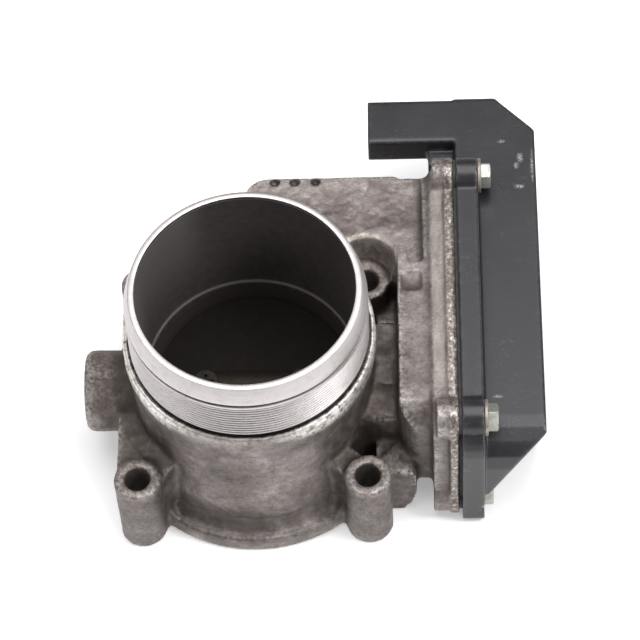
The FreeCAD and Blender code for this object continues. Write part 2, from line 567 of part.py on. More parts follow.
# ----------------------------------------------------------------------- motor
MP = (0, "MotorY", SZ)
can = ring_x("motor_can", [(3.0, 2.2), (3.0, "MotorCan-1.2"), (4.2, "MotorCan"), (43.0, "MotorCan"), (43.0, "MotorCan-1.2"), (4.4, "MotorCan-1.2"), (4.4, 4.4), (8.0, 4.4), (8.0, 4.0), (4.2, 4.0), (4.2, 2.2)], MP)
NODES["motor_can"] = can
NODES["motor_wave_washer"] = ring_x("motor_wave_washer", [(1.0, 10.6), (2.6, 7.8), (3.0, 7.8), (3.0, 8.2), (1.6, 10.6)], MP)
mags = []
for i, sgn in enumerate((1, -1)):
    b = body("Magnet%d" % i, MP)
    a0 = math.radians(20)
    pts = [(10.25 * math.cos(a0 + (math.pi - 2 * a0) * k / 10), sgn * 10.25 * math.sin(a0 + (math.pi - 2 * a0) * k / 10)) for k in range(11)]
    pts += [(8.7 * math.cos(a0 + (math.pi - 2 * a0) * k / 10), sgn * 8.7 * math.sin(a0 + (math.pi - 2 * a0) * k / 10)) for k in range(10, -1, -1)]
    pad(b, "MagnetPad%d" % i, "YZ_Plane", 9, 26, loops=[pts])
    mags.append(b)
NODES["motor_magnets"] = group("motor_magnets", mags)
core = rod_x(12, 32, 8.1, MY, CZ)
for k in range(5):
    a = 2 * math.pi * k / 5
    u, w = math.cos(a), math.sin(a)
    slot = Part.makeBox(22, 1.4, 6.0, V(11, -0.7, 5.2))
    pocket = Part.makeCylinder(1.95, 22, V(11, 0, 5.1), V(1, 0, 0))
    s = slot.fuse(pocket)
    s.Placement = FreeCAD.Placement(V(0, MY, CZ), Rot(V(1, 0, 0), 72.0 * k))
    core = core.cut(s)
core = core.cut(rod_x(11, 33, 1.5, MY, CZ)).removeSplitter()
NODES["armature_core"] = feature("armature_core", core)
wind = []
for k in range(5):
    a = 2 * math.pi * (k / 5.0)
    c = Part.makeCylinder(1.85, 26, V(9.2, 0, 5.1), V(1, 0, 0))
    c.Placement = FreeCAD.Placement(V(0, MY, CZ), Rot(V(1, 0, 0), 72.0 * k))
    wind.append(c)
ends = [Part.makeCylinder(7.3, 2.6, V(9.2, MY, CZ), V(1, 0, 0)).cut(rod_x(9, 13, 3.2, MY, CZ)),
        Part.makeCylinder(7.3, 2.9, V(32.2, MY, CZ), V(1, 0, 0)).cut(rod_x(32, 36, 3.2, MY, CZ))]
w_all = ends[0].fuse(wind + [ends[1]]).removeSplitter()
NODES["armature_windings"] = feature("armature_windings", w_all)
NODES["commutator"] = ring_x("commutator", [(36.0, 1.5), (41.0, 1.5), (41.0, 3.8), (37.0, 3.8), (37.0, 4.4), (36.0, 4.4)], MP)
NODES["motor_shaft"] = ring_x("motor_shaft", [(4.6, 0), (63.4, 0), (63.4, 1.2), (63.1, 1.5), (4.6, 1.5)], MP)
bush = [ring_x("BushRear", [(4.4, 1.53), (8.0, 1.53), (8.0, 4.0), (4.4, 4.0)], MP),
        ring_x("BushFront", [(43.4, 1.53), (47.6, 1.53), (47.6, 3.6), (43.4, 3.6)], MP)]
NODES["motor_bushes"] = group("motor_bushes", bush)
ep = body("motor_end_plate", MP)
turned(ep, "EndPlateTurn", [(43.0, 3.6), (47.0, 3.6), (47.0, 6.0), ("TubFloor", 8.5), ("TubFloor", "MotorCan"), (43.0, "MotorCan")])
pad(ep, "EndPlateEars", "YZ_Plane", "TubFloor", 1.6, loops=[[(-9.0, 10.9), (-13.6, 10.9), (-15.9, 8.4), (-15.6, 5.2), (-11.4, 3), (-11.4, -3), (-15.6, -5.2), (-15.9, -8.4), (-13.6, -10.9), (-9.0, -10.9), (3, -8), (8, -3), (8, 3), (3, 8)]])
cut(ep, "EndPlateHole", "YZ_Plane", 44, 5, circles=[(0, 0, 3.6)])
cut(ep, "EndPlateScrewHoles", "YZ_Plane", 44, 5, circles=[(-12.5, 7.5, 1.4), (-12.5, -7.5, 1.4)])
cut(ep, "TerminalSlots", "YZ_Plane", 42.5, 6, loops=[rect(6.6, 5.8, 7.4, 8.6), rect(6.6, -8.6, 7.4, -5.8)])
NODES["motor_end_plate"] = ep
br = []
for i, sgn in enumerate((1, -1)):
    br.append(prim("Box", "Brush%d" % i, (37.5, "MotorY-1.5", "ShaftHeight+3.85" if sgn > 0 else "ShaftHeight-8.85"), Length=3, Width=3, Height=5))
NODES["carbon_brushes"] = group("carbon_brushes", br)
tm = [prim("Box", "Terminal0", (43.0, "MotorY+6.6", "ShaftHeight+5.8"), Length=16.0, Width=0.8, Height=2.8),
      prim("Box", "Terminal1", (43.0, "MotorY+6.6", "ShaftHeight-8.6"), Length=16.0, Width=0.8, Height=2.8)]
NODES["motor_terminals"] = group("motor_terminals", tm)
ms = []
for i, (dy, dz) in enumerate((("-12.5", "+7.5"), ("-12.5", "-7.5"))):
    ms.append(ring_x("MotorScrew%d" % i, [(42.4, 0), (49.0, 0), (49.0, 1.8), (48.5, 2.5), (47.1, 2.5), (47.1, 1.25), (42.4, 1.25)],
                     (0, "MotorY" + dy, "ShaftHeight" + dz)))
NODES["motor_screws"] = group("motor_screws", ms)
stop = body("closed_stop_screw", (55.6, -12.1, 0))
turned(stop, "StopTurn", [(0, 26.4), (0.9, 26.4), (1.5, 27.2), (1.5, 38.6), (0, 38.6)], "V_Axis")
cut(stop, "StopSlot", "XY_Plane", 37.6, 2, loops=[rect(-2, -0.3, 2, 0.3)])
NODES["closed_stop_screw"] = stop

# ----------------------------------------------------------------- gear cover
cv = body("gear_cover")
dome_out = [(-31.6, 13), (-31.6, 27.5), (-30.6, 32.4), (-27.8, 36.0), (-23.5, 38.0), (-20.5, "DomeTop"), ("SocketRear-1", "DomeTop"),
            ("SocketRear", "DomeTop-1"), ("SocketRear", 14), ("SocketRear-4", 10), (62, 10), (56, 6), (-23, 6), (-28.5, 8.4)]
pad(cv, "Dome", "YZ_Plane", "CoverFlange-2.5", "CoverEnd-CoverFlange+2.5", loops=[dome_out])
pad(cv, "RearBlock", "YZ_Plane", "CoverStart", "CoverFlange-CoverStart+1",
    loops=[[(64, 12), ("SocketRear-4", 12), ("SocketRear", 16), ("SocketRear", "DomeTop-1"), ("SocketRear-1", "DomeTop"), (64, "DomeTop")]])
pad(cv, "Socket", "YZ_Plane", "SocketLeft", "CoverStart-SocketLeft+0.5", loops=[rounded("SocketFront", "SocketLow", "SocketRear-0.8", "DomeTop", 0.9, 3)])
pad(cv, "SocketBrace", "YZ_Plane", 52, "CoverStart-51.5", loops=[[(70, 22), (80, 22), (80, 30), ("SocketFront", 34), (70, 34)]])
# outer corners of the dome
cut(cv, "RearCorner", "XY_Plane", 0, 60, loops=[[("CoverEnd-12.6", "SocketRear+0.6"), ("CoverEnd+1", "SocketRear+0.6"), ("CoverEnd+1", "SocketRear-13.6")]])
# slanted flat that takes off the front outer corner, from the top edge down and inward
doc.recompute()
full = cv.Shape.Volume
slant = sketch(cv, "XY_Plane", 0, [rect(-60, -60, 60, 60)], (), "FrontCornerSketch")
slant.AttachmentOffset = FreeCAD.Placement(V(84.0, -26.2, 38.5), Rot(V(0, 0, 1), V(0.7137, -0.6224, -0.3275)))
slant.setExpression("AttachmentOffset.Base.z", None)
corner = cv.newObject("PartDesign::Pocket", "FrontCorner")
corner.Profile = slant
corner.Length = 40
corner.Reversed = True
doc.recompute()
if not 1 < full - cv.Shape.Volume < 8000:
    raise RuntimeError("FrontCorner removes %g" % (full - cv.Shape.Volume))
pad(cv, "CoverFlangePad", "YZ_Plane", "CoverStart", "CoverFlange-CoverStart", loops=[tight(-33.4, 0.4, 66.0, 46.0, 9, 2.0)])
for i, (ey, ez, ex, ed, es) in enumerate(EARS):
    pad(cv, "CoverEar%d" % i, "YZ_Plane", "CoverStart", "CoverFlange-CoverStart", circles=[(ey, ez, 5.6)])
# cavities
cut(cv, "FlangeCavity", "YZ_Plane", 59, "CoverFlange-CoverWall-59", loops=[rounded(-30.4, 2.4, 63.4, 43.4, 7)])
dome_in = [(-24, 18), (-26, 27.5), (-25.4, 31.4), (-24, 34.2), (-21.6, 35.9), (-19.0, 36.3), (89.2, 36.3), (89.2, 15), (86, 12.2), (61, 12.2), (55, 8.2), (-20, 8.2)]
cut(cv, "DomeCavity", "YZ_Plane", "CoverFlange-3", "71.0-CoverFlange+3", loops=[dome_in])
cut(cv, "DomeCavityOuter", "YZ_Plane", 70, "CoverEnd-CoverWall-70", loops=[[(-9, 8.2), (-17.0, 24), (-17.0, 34), (-15, 36.3), (77.6, 36.3), (77.6, 12.2), (61, 12.2), (55, 8.2)]])
cut(cv, "RearCavity", "YZ_Plane", 62.2, 5, loops=[[(68, 14.4), (86, 14.4), (89.2, 17), (89.2, 36.3), (68, 36.3)]])
cut(cv, "SocketCavity", "YZ_Plane", "SocketLeft-1", 24, loops=[rect("SocketFront+1.7", "SocketLow+1.7", "SocketRear-2.5", "DomeTop-1.7")])
for i, (ey, ez, ex, ed, es) in enumerate(EARS):
    pad(cv, "CoverColumn%d" % i, "YZ_Plane", "CoverStart", "CoverFlange-CoverStart", circles=[(ey, ez, 5.0)])
for i, (ey, ez, ex, ed, es) in enumerate(EARS):
    cut(cv, "CoverHole%d" % i, "YZ_Plane", 59, 9.5, circles=[(ey, ez, 2.2)])
# seats for the screws that sit beside the dome
cut(cv, "FootSeat", "YZ_Plane", "CoverFlange-1.2", 20, circles=[("ScrewFootY", "ScrewLowZ", 6.0)])
cut(cv, "HeelSeat", "YZ_Plane", "CoverFlange-1.2", 20, circles=[("ScrewHeelY", "ScrewLowZ", 6.0)])
pin_y = ["SocketFront+%g" % (2.6 + 2.0 * k) for k in range(6)]
cut(cv, "PinSlots", "YZ_Plane", 56.5, 8, loops=[rect(y, "SocketLow+4.25", y + "+0.6", "SocketLow+4.85") for y in pin_y])
NODES["gear_cover"] = cv

pins = []
for i, y in enumerate(pin_y):
    pins.append(prim("Box", "ConnectorPin%d" % i, (44.0, y, "SocketLow+4.25"), Length=21.0, Width=0.6, Height=0.6))
NODES["connector_pins"] = group("connector_pins", pins)

gk = body("cover_gasket")
pad(gk, "GasketPad", "YZ_Plane", "TubFace", "CoverStart-TubFace", loops=[rounded(-30.9, 1.5, 64.7, 45.1, 8.6), rounded(-29.0, 2.5, 62.8, 42.8, 7)])
for i, (ey, ez, ex, ed, es) in enumerate(EARS):
    pad(gk, "GasketEar%d" % i, "YZ_Plane", "TubFace", "CoverStart-TubFace", circles=[(ey, ez, 4.9)])
for i, (ey, ez, ex, ed, es) in enumerate(EARS):
    cut(gk, "GasketHole%d" % i, "YZ_Plane", 58, 4, circles=[(ey, ez, 2.2)])
NODES["cover_gasket"] = gk

screws, washers = [], []
for i, (ey, ez, ex, ed, es) in enumerate(EARS):
    b = body("CoverScrew%d" % i, (-es, ey, ez))
    turned(b, "CoverScrewShank%d" % i, [("TubFace-5.2", 0), ("CoverFlange+1.2", 0), ("CoverFlange+1.2", "ScrewShank"), ("TubFace-4.6", "ScrewShank"), ("TubFace-5.2", "ScrewShank-0.6")])
    hexa = [(4.05 * math.cos(math.radians(60 * k + 20)), 4.05 * math.sin(math.radians(60 * k + 20))) for k in range(6)]
    pad(b, "CoverScrewHead%d" % i, "YZ_Plane", "CoverFlange+1.0", 2.9, loops=[hexa])
    cut(b, "CoverScrewDish%d" % i, "YZ_Plane", "CoverFlange+3.3", 1, circles=[(0, 0, 2.4)])
    screws.append(b)
    washers.append(ring_x("CoverWasher%d" % i, [("CoverFlange", 2.3), ("CoverFlange+1.0", 2.3), ("CoverFlange+1.0", 4.9), ("CoverFlange+0.8", 5.2), ("CoverFlange", 5.2)], (-es, ey, ez)))
NODES["cover_screws"] = group("cover_screws", screws)
NODES["cover_screw_washers"] = group("cover_screw_washers", washers)

# ------------------------------------------------ sensor and motor connections
rt = ring_x("sensor_rotor", [(63.8, 3.7), (68.4, 3.7), (68.4, 9.0), (66.4, 9.0), (66.4, 5.6), (63.8, 5.6)])
pad(rt, "RotorKey", "YZ_Plane", 64.5, 3.9, loops=[rect(-2.2, 2.9, 2.2, 4.2)])
rt.Placement = FreeCAD.Placement(V(0, 0, CZ), Rot(V(1, 0, 0), NUM["LimpAngle"]))
NODES["sensor_rotor"] = rt
NODES["sensor_board"] = minus("sensor_board",
    prim("Box", "BoardBlank", (71.2, -8.0, "ShaftHeight-12.0"), Length=1.6, Width=38.0, Height=25.0),
    fuse("BoardHoles", [prim("Cylinder", "BoardHole0", (70.0, -5.5, "ShaftHeight-9.5"), (1, 0, 0), Radius=1.6, Height=4),
                        prim("Cylinder", "BoardHole1", (70.0, 27.5, "ShaftHeight+10.5"), (1, 0, 0), Radius=1.6, Height=4)]))
posts = [prim("Cylinder", "BoardPost0", (71.0, -5.5, "ShaftHeight-9.5"), (1, 0, 0), Radius=1.6, Height="CoverEnd-CoverWall-71"),
         prim("Cylinder", "BoardPost1", (71.0, 27.5, "ShaftHeight+10.5"), (1, 0, 0), Radius=1.6, Height="CoverEnd-CoverWall-71")]
NODES["board_posts"] = group("board_posts", posts)
mc = []
for i, z in enumerate(("ShaftHeight+5.8", "ShaftHeight-8.6")):
    a = prim("Box", "ContactA%d" % i, (55.0, "MotorY+7.4", z), Length=26.8, Width=0.6, Height=2.8)
    mc.append(a)
NODES["motor_contacts"] = group("motor_contacts", mc)

# -------------------------------------------------------------- check and write
doc.recompute()
bad = []
for o in doc.Objects:
    if "Invalid" in o.State or "Error" in o.State:
        bad.append(o.Name)
if bad:
    raise RuntimeError("failed objects: " + ", ".join(bad))
os.makedirs("parts", exist_ok=True)
for name in sorted(NODES):
    o = NODES[name]
    s = o.Shape
    if s.isNull() or not s.isValid() or not s.Solids:
        raise RuntimeError(name + " has a bad shape")
    if o.Label != name:
        raise RuntimeError(name + " is labelled " + o.Label)
for name in sorted(NODES):
    s = NODES[name].Shape
    s.exportStep("parts/%s.step" % name)
    bb = s.BoundBox
    print("%-26s solids %2d vol %9.1f  x %.1f %.1f  y %.1f %.1f  z %.1f %.1f" % (
        name, len(s.Solids), s.Volume, bb.XMin, bb.XMax, bb.YMin, bb.YMax, bb.ZMin, bb.ZMax))
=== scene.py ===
import json
import math

import bmesh
import bpy
import numpy as np
from mathutils import Matrix, Vector


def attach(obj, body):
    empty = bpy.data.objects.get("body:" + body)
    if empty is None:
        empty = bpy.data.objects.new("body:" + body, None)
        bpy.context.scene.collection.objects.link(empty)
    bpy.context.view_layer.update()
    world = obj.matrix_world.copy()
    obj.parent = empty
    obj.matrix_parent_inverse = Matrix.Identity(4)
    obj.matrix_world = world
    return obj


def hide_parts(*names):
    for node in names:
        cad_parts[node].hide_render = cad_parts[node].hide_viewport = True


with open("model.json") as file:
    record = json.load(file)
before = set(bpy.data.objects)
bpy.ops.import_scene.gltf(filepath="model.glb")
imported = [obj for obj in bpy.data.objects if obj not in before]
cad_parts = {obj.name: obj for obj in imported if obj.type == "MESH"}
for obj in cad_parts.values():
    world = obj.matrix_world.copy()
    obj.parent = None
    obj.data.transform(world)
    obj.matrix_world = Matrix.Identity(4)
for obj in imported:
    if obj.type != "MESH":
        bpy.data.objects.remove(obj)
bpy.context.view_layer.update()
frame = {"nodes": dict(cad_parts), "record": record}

scene = bpy.context.scene
nodes = frame["nodes"]
MM = 0.001
SZ = 22.5          # shaft height


# ------------------------------------------------------------------ mesh tools
def link(ob):
    scene.collection.objects.link(ob)
    return ob


def make(name, verts, faces, smooth=True):
    me = bpy.data.meshes.new(name)
    me.from_pydata([tuple(v) for v in verts], [], faces)
    me.validate()
    me.update()
    ob = link(bpy.data.objects.new(name, me))
    for p in me.polygons:
        p.use_smooth = smooth
    return ob


def applied(ob):
    """Applies every modifier of an object to its mesh."""
    dg = bpy.context.evaluated_depsgraph_get()
    me = bpy.data.meshes.new_from_object(ob.evaluated_get(dg))
    old = ob.data
    ob.modifiers.clear()
    ob.data = me
    bpy.data.meshes.remove(old)
    return ob


def copy_of(node, name):
    """A welded copy of one frame node's mesh, under a new name."""
    bm = bmesh.new()
    bm.from_mesh(nodes[node].data)
    bmesh.ops.remove_doubles(bm, verts=bm.verts, dist=2e-6)
    bmesh.ops.recalc_face_normals(bm, faces=bm.faces)
    me = bpy.data.meshes.new(name)
    bm.to_mesh(me)
    bm.free()
    return link(bpy.data.objects.new(name, me))


def remeshed(ob, voxel):
    m = ob.modifiers.new("r", "REMESH")
    m.mode = "VOXEL"
    m.voxel_size = voxel * MM
    m.use_smooth_shade = True
    return applied(ob)


def relaxed(ob, factor, count):
    m = ob.modifiers.new("s", "SMOOTH")
    m.factor = factor
    m.iterations = count
    return applied(ob)


def coords(me):
    co = np.empty(len(me.vertices) * 3, "f")
    me.vertices.foreach_get("co", co)
    no = np.empty(len(me.vertices) * 3, "f")
    me.vertices.foreach_get("normal", no)
    return co.reshape(-1, 3) / MM, no.reshape(-1, 3)


def put(me, co):
    me.vertices.foreach_set("co", (co * MM).astype("f").ravel())
    me.update()


def attribute(me, name, values):
    a = me.attributes.new(name, "FLOAT", "POINT")
    a.data.foreach_set("value", values.astype("f"))


def ramp(v, a, b):
    t = np.clip((v - a) / (b - a), 0, 1)
    return t * t * (3 - 2 * t)


def curvature(ob, count, name_in, name_out, scale):
    """Stores how far a heavily smoothed copy lies outside (hollows) or inside (edges)."""
    co, no = coords(ob.data)
    cp = ob.copy()
    cp.data = ob.data.copy()
    link(cp)
    relaxed(cp, 0.5, count)
    co2, _ = coords(cp.data)
    d = ((co2 - co) * no).sum(axis=1) / scale
    attribute(ob.data, name_in, np.clip(d, 0, 1))
    attribute(ob.data, name_out, np.clip(-d, 0, 1))
    bpy.data.objects.remove(cp)


def drop_faces(ob, test):
    """Deletes the faces whose centre and normal pass the test (numpy arrays in, mask out)."""
    me = ob.data
    n = len(me.polygons)
    c = np.empty(n * 3, "f")
    me.polygons.foreach_get("center", c)
    nn = np.empty(n * 3, "f")
    me.polygons.foreach_get("normal", nn)
    mask = test(c.reshape(-1, 3) / MM, nn.reshape(-1, 3))
    bm = bmesh.new()
    bm.from_mesh(me)
    bm.faces.ensure_lookup_table()
    bmesh.ops.delete(bm, geom=[bm.faces[i] for i in np.nonzero(mask)[0]], context="FACES")
    bm.to_mesh(me)
    bm.free()
    me.update()


def lathe(name, profile, steps=360, centre=(0, 0, 0), axis="z", closed=True, wobble=None):
    """Turns a profile of (radius, height) pairs in mm about an axis through centre."""
    verts, faces = [], []
    n = len(profile)
    for i in range(steps):
        a = 2 * math.pi * i / steps
        ca, sa = math.cos(a), math.sin(a)
        for j, (r, z) in enumerate(profile):
            rr = r + (wobble(a, j) if wobble else 0)
            if axis == "z":
                p = (rr * ca, rr * sa, z)
            else:
                p = (z, rr * ca, rr * sa)
            verts.append(tuple((p[k] + centre[k]) * MM for k in range(3)))
    m = n if closed else n - 1
    for i in range(steps):
        k = (i + 1) % steps
        for j in range(m):
            l = (j + 1) % n
            faces.append((i * n + j, k * n + j, k * n + l, i * n + l))
    ob = make(name, verts, faces)
    bm = bmesh.new()
    bm.from_mesh(ob.data)
    bmesh.ops.remove_doubles(bm, verts=bm.verts, dist=1e-7)
    bmesh.ops.recalc_face_normals(bm, faces=bm.faces)
    bm.to_mesh(ob.data)
    bm.free()
    return ob


def sharp(ob, angle=35):
    """Flat-shades the edges that are sharper than the angle."""
    me = ob.data
    bm = bmesh.new()
    bm.from_mesh(me)
    for e in bm.edges:
        if len(e.link_faces) == 2:
            e.smooth = e.calc_face_angle(0) < math.radians(angle)
    for f in bm.faces:
        f.smooth = True
    bm.to_mesh(me)
    bm.free()
    return ob


def joined(name, obs):
    bm = bmesh.new()
    for o in obs:
        bm.from_mesh(o.data)
    me = bpy.data.meshes.new(name)
    bm.to_mesh(me)
    bm.free()
    for o in obs:
        bpy.data.objects.remove(o)
    return link(bpy.data.objects.new(name, me))


def dress(ob, mat, body="housing", replaces=()):
    ob.data.materials.clear()
    ob.data.materials.append(mat)
    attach(ob, body)
    if replaces:
        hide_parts(*replaces)
    return ob


# -------------------------------------------------------------- material tools
class Mat:
    """A Principled material with short helpers. Lengths in its textures are in mm."""

    def __init__(self, name, base=(0.5, 0.5, 0.5), rough=0.5, metal=0.0, **sockets):
        self.m = bpy.data.materials.new(name)
        self.m.use_nodes = True
        self.t = self.m.node_tree
        self.b = self.t.nodes["Principled BSDF"]
        self.b.inputs["Base Color"].default_value = (*base, 1)
        self.b.inputs["Roughness"].default_value = rough
        self.b.inputs["Metallic"].default_value = metal
        for k, v in sockets.items():
            self.b.inputs[k.replace("_", " ")].default_value = v
        tc = self.new("ShaderNodeTexCoord")
        self.pos = self.vec("MULTIPLY", tc.outputs["Object"], (1000, 1000, 1000))

    def new(self, kind, **props):
        n = self.t.nodes.new(kind)
        for k, v in props.items():
            setattr(n, k, v)
        return n

    def feed(self, socket, value):
        if hasattr(value, "is_output"):
            self.t.links.new(value, socket)
        elif isinstance(value, (tuple, list)) and len(value) == 3 and len(socket.default_value) == 4:
            socket.default_value = (*value, 1)
        else:
            socket.default_value = value

    def vec(self, op, a, b=None):
        n = self.new("ShaderNodeVectorMath", operation=op)
        self.feed(n.inputs[0], a)
        if b is not None:
            self.feed(n.inputs[1], b)
        return n.outputs["Value"] if op in ("LENGTH", "DOT_PRODUCT") else n.outputs[0]

    def math(self, op, a, b=0.0, clamp=False):
        n = self.new("ShaderNodeMath", operation=op, use_clamp=clamp)
        self.feed(n.inputs[0], a)
        self.feed(n.inputs[1], b)
        return n.outputs[0]

    def noise(self, size, detail=4, rough=0.55, stretch=(1, 1, 1), distort=0.0, at=None):
        """Noise whose features are about size mm, as a 0..1 value."""
        v = self.vec("MULTIPLY", at or self.pos, tuple(s / size for s in stretch))
        n = self.new("ShaderNodeTexNoise")
        self.feed(n.inputs["Vector"], v)
        n.inputs["Scale"].default_value = 1
        n.inputs["Detail"].default_value = detail
        n.inputs["Roughness"].default_value = rough
        n.inputs["Distortion"].default_value = distort
        return n.outputs["Fac"]

    def cells(self, size, feature="F1"):
        v = self.vec("MULTIPLY", self.pos, (1 / size,) * 3)
        n = self.new("ShaderNodeTexVoronoi", feature=feature)
        self.feed(n.inputs["Vector"], v)
        n.inputs["Scale"].default_value = 1
        return n.outputs["Distance"]

    def steps(self, value, *stops):
        """A colour or value ramp: stops are (position, colour or grey)."""
        n = self.new("ShaderNodeValToRGB")
        self.feed(n.inputs[0], value)
        e = n.color_ramp.elements
        while len(e) < len(stops):
            e.new(0.5)
        for i, (p, c) in enumerate(stops):
            e[i].position = p
            c = (c, c, c) if isinstance(c, (int, float)) else c
            e[i].color = (*c, 1)
        return n.outputs["Color"]

    def mix(self, f, a, b, mode="MIX"):
        n = self.new("ShaderNodeMix", data_type="RGBA", blend_type=mode)
        self.feed(n.inputs["Factor"], f)
        self.feed(n.inputs[6], a)
        self.feed(n.inputs[7], b)
        return n.outputs[2]

    def attr(self, name):
        return self.new("ShaderNodeAttribute", attribute_name=name).outputs["Fac"]

    def bump(self, height, depth, strength=1.0, after=None):
        n = self.new("ShaderNodeBump")
        n.inputs["Distance"].default_value = depth * MM
        n.inputs["Strength"].default_value = strength
        self.feed(n.inputs["Height"], height)
        if after is not None:
            self.t.links.new(after, n.inputs["Normal"])
        self.t.links.new(n.outputs[0], self.b.inputs["Normal"])
        return n.outputs[0]

    def color(self, v):
        self.feed(self.b.inputs["Base Color"], v)

    def rough(self, v):
        self.feed(self.b.inputs["Roughness"], v)

    def metal(self, v):
        self.feed(self.b.inputs["Metallic"], v)


def cast_material():
    m = Mat("cast_aluminium_skin", (0.3, 0.27, 0.26), 0.5, 0.6)
    big = m.noise(14, 5, 0.6, distort=0.4)
    mid = m.noise(3.2, 6, 0.65)
    fine = m.noise(0.55, 4, 0.6)
    base = m.steps(big, (0.30, (0.108, 0.090, 0.084)), (0.5, (0.232, 0.200, 0.191)), (0.68, (0.350, 0.311, 0.300)))
    grain = m.steps(m.math("ADD", m.math("MULTIPLY", fine, 0.3), m.math("MULTIPLY", m.noise(2.2, 5, 0.6), 0.7)), (0.34, 0.62), (0.5, 0.92), (0.66, 1.1))
    c = m.mix(1.0, base, grain, "MULTIPLY")
    stain = m.steps(m.noise(5.5, 6, 0.7, distort=1.2), (0.50, 0.0), (0.64, 1.0))
    c = m.mix(m.math("MULTIPLY", stain, 0.55), c, (0.115, 0.078, 0.055))
    rust = m.math("MULTIPLY", m.attr("rust"), m.steps(mid, (0.34, 0.0), (0.55, 1.0)))
    c = m.mix(rust, c, (0.090, 0.065, 0.050))
    # painted shade and dirt: sheltered corners, the barrel's sides and the dimples are darkened
    shade_and_grime = m.math("MULTIPLY", m.attr("shade_and_grime"), m.steps(m.noise(4.0, 6, 0.65), (0.30, 0.25), (0.58, 1.0)))
    c = m.mix(shade_and_grime, c, (0.052, 0.039, 0.033))
    # a paler tone on the left web tops, and painted light on the bolt recess wall behind the rear-right boss
    pale_and_painted_light = m.math("MULTIPLY", m.attr("pale_and_painted_light"), m.steps(mid, (0.36, 0.2), (0.56, 1.0)))
    c = m.mix(pale_and_painted_light, c, (0.55, 0.5, 0.45))
    # painted shade and dirt in the hollows: darker where the surface is concave
    hollow_shade_and_dirt = m.math("MULTIPLY", m.attr("hollow_shade_and_dirt"), m.steps(mid, (0.3, 0.55), (0.6, 1.0)), clamp=True)
    c = m.mix(hollow_shade_and_dirt, c, (0.045, 0.034, 0.028))
    worn = m.math("MULTIPLY", m.attr("edge"), m.steps(m.noise(1.1, 5, 0.7), (0.42, 0.0), (0.58, 1.0)))
    c = m.mix(worn, c, (0.62, 0.6, 0.57))
    chip = m.math("MULTIPLY", m.attr("chip"), m.steps(m.noise(1.7, 6, 0.75), (0.40, 0.0), (0.52, 1.0)))
    c = m.mix(chip, c, (0.78, 0.75, 0.71))
    mach = m.attr("mach")
    dirt = m.steps(m.noise(1.1, 6, 0.75), (0.44, (0.13, 0.10, 0.085)), (0.56, (0.30, 0.27, 0.25)), (0.66, (0.75, 0.72, 0.69)))
    c = m.mix(mach, c, dirt)
    strip = m.steps(m.noise(2.5, 4, 0.6, stretch=(1.6, 0.35, 0.6)), (0.35, (0.215, 0.188, 0.168)), (0.62, (0.31, 0.280, 0.256)))
    c = m.mix(m.attr("strip"), c, strip)
    m.color(c)
    r = m.steps(mid, (0.3, 0.62), (0.7, 0.42))
    r = m.mix(m.math("MULTIPLY", rust, 0.8), r, (0.8, 0.8, 0.8))
    r = m.mix(m.math("MAXIMUM", chip, mach), r, (0.33, 0.33, 0.33))
    m.rough(r)
    met = m.steps(stain, (0.0, 0.72), (1.0, 0.3))
    m.metal(m.mix(m.math("MAXIMUM", rust, hollow_shade_and_dirt), met, (0.1, 0.1, 0.1)))
    h = m.math("ADD", m.math("MULTIPLY", fine, 0.5), m.math("MULTIPLY", m.noise(0.9, 3, 0.5), 0.8))
    h = m.math("ADD", h, m.math("MULTIPLY", m.steps(m.cells(1.3), (0.0, 0.0), (0.35, 1.0)), 0.25))
    h = m.math("MULTIPLY", h, m.math("SUBTRACT", 1.0, m.math("MULTIPLY", mach, 0.75)))
    m.bump(h, 0.16, 0.7)
    return m.m


def ring_material(name, base, dark, rough, spots=0.5, pitch=0.22, metal=1.0):
    """Turned aluminium: fine tool rings about Z, faint marks, and darkening from the 'dirt' attribute: painted shade in
    the bore, painted shade and dirt in the neck's grooves.
    """
    m = Mat(name, base, rough, metal)
    s = m.new("ShaderNodeSeparateXYZ")
    m.feed(s.inputs[0], m.pos)
    r = m.math("SQRT", m.math("ADD", m.math("POWER", s.outputs[0], 2.0), m.math("POWER", s.outputs[1], 2.0)))
    u = m.new("ShaderNodeCombineXYZ")
    m.feed(u.inputs[0], m.math("MULTIPLY", m.math("ARCTAN2", s.outputs[1], s.outputs[0]), 2.2))
    m.feed(u.inputs[1], m.math("DIVIDE", r, pitch))
    m.feed(u.inputs[2], m.math("DIVIDE", s.outputs[2], pitch))
    rings = m.noise(1.0, 3, 0.6, at=u.outputs[0])
    marks = m.noise(2.4, 6, 0.7)
    c = m.mix(m.steps(rings, (0.3, 0.0), (0.7, 1.0)), tuple(0.80 * v for v in base), base)
    c = m.mix(m.math("MULTIPLY", m.steps(marks, (0.52, 0.0), (0.7, 1.0)), spots), c, dark)
    # the 'dirt' attribute darkens: painted shade in the bore, painted shade and dirt in the neck's grooves
    d = m.math("MULTIPLY", m.attr("dirt"), m.steps(marks, (0.3, 0.75), (0.6, 1.0)))
    m.color(m.mix(d, c, (0.060, 0.050, 0.047)))
    m.rough(m.steps(m.math("ADD", m.math("MULTIPLY", rings, 0.6), m.math("MULTIPLY", marks, 0.4)), (0.3, rough - 0.08), (0.7, rough + 0.12)))
    m.bump(rings, 0.02, 0.8)
    return m.m


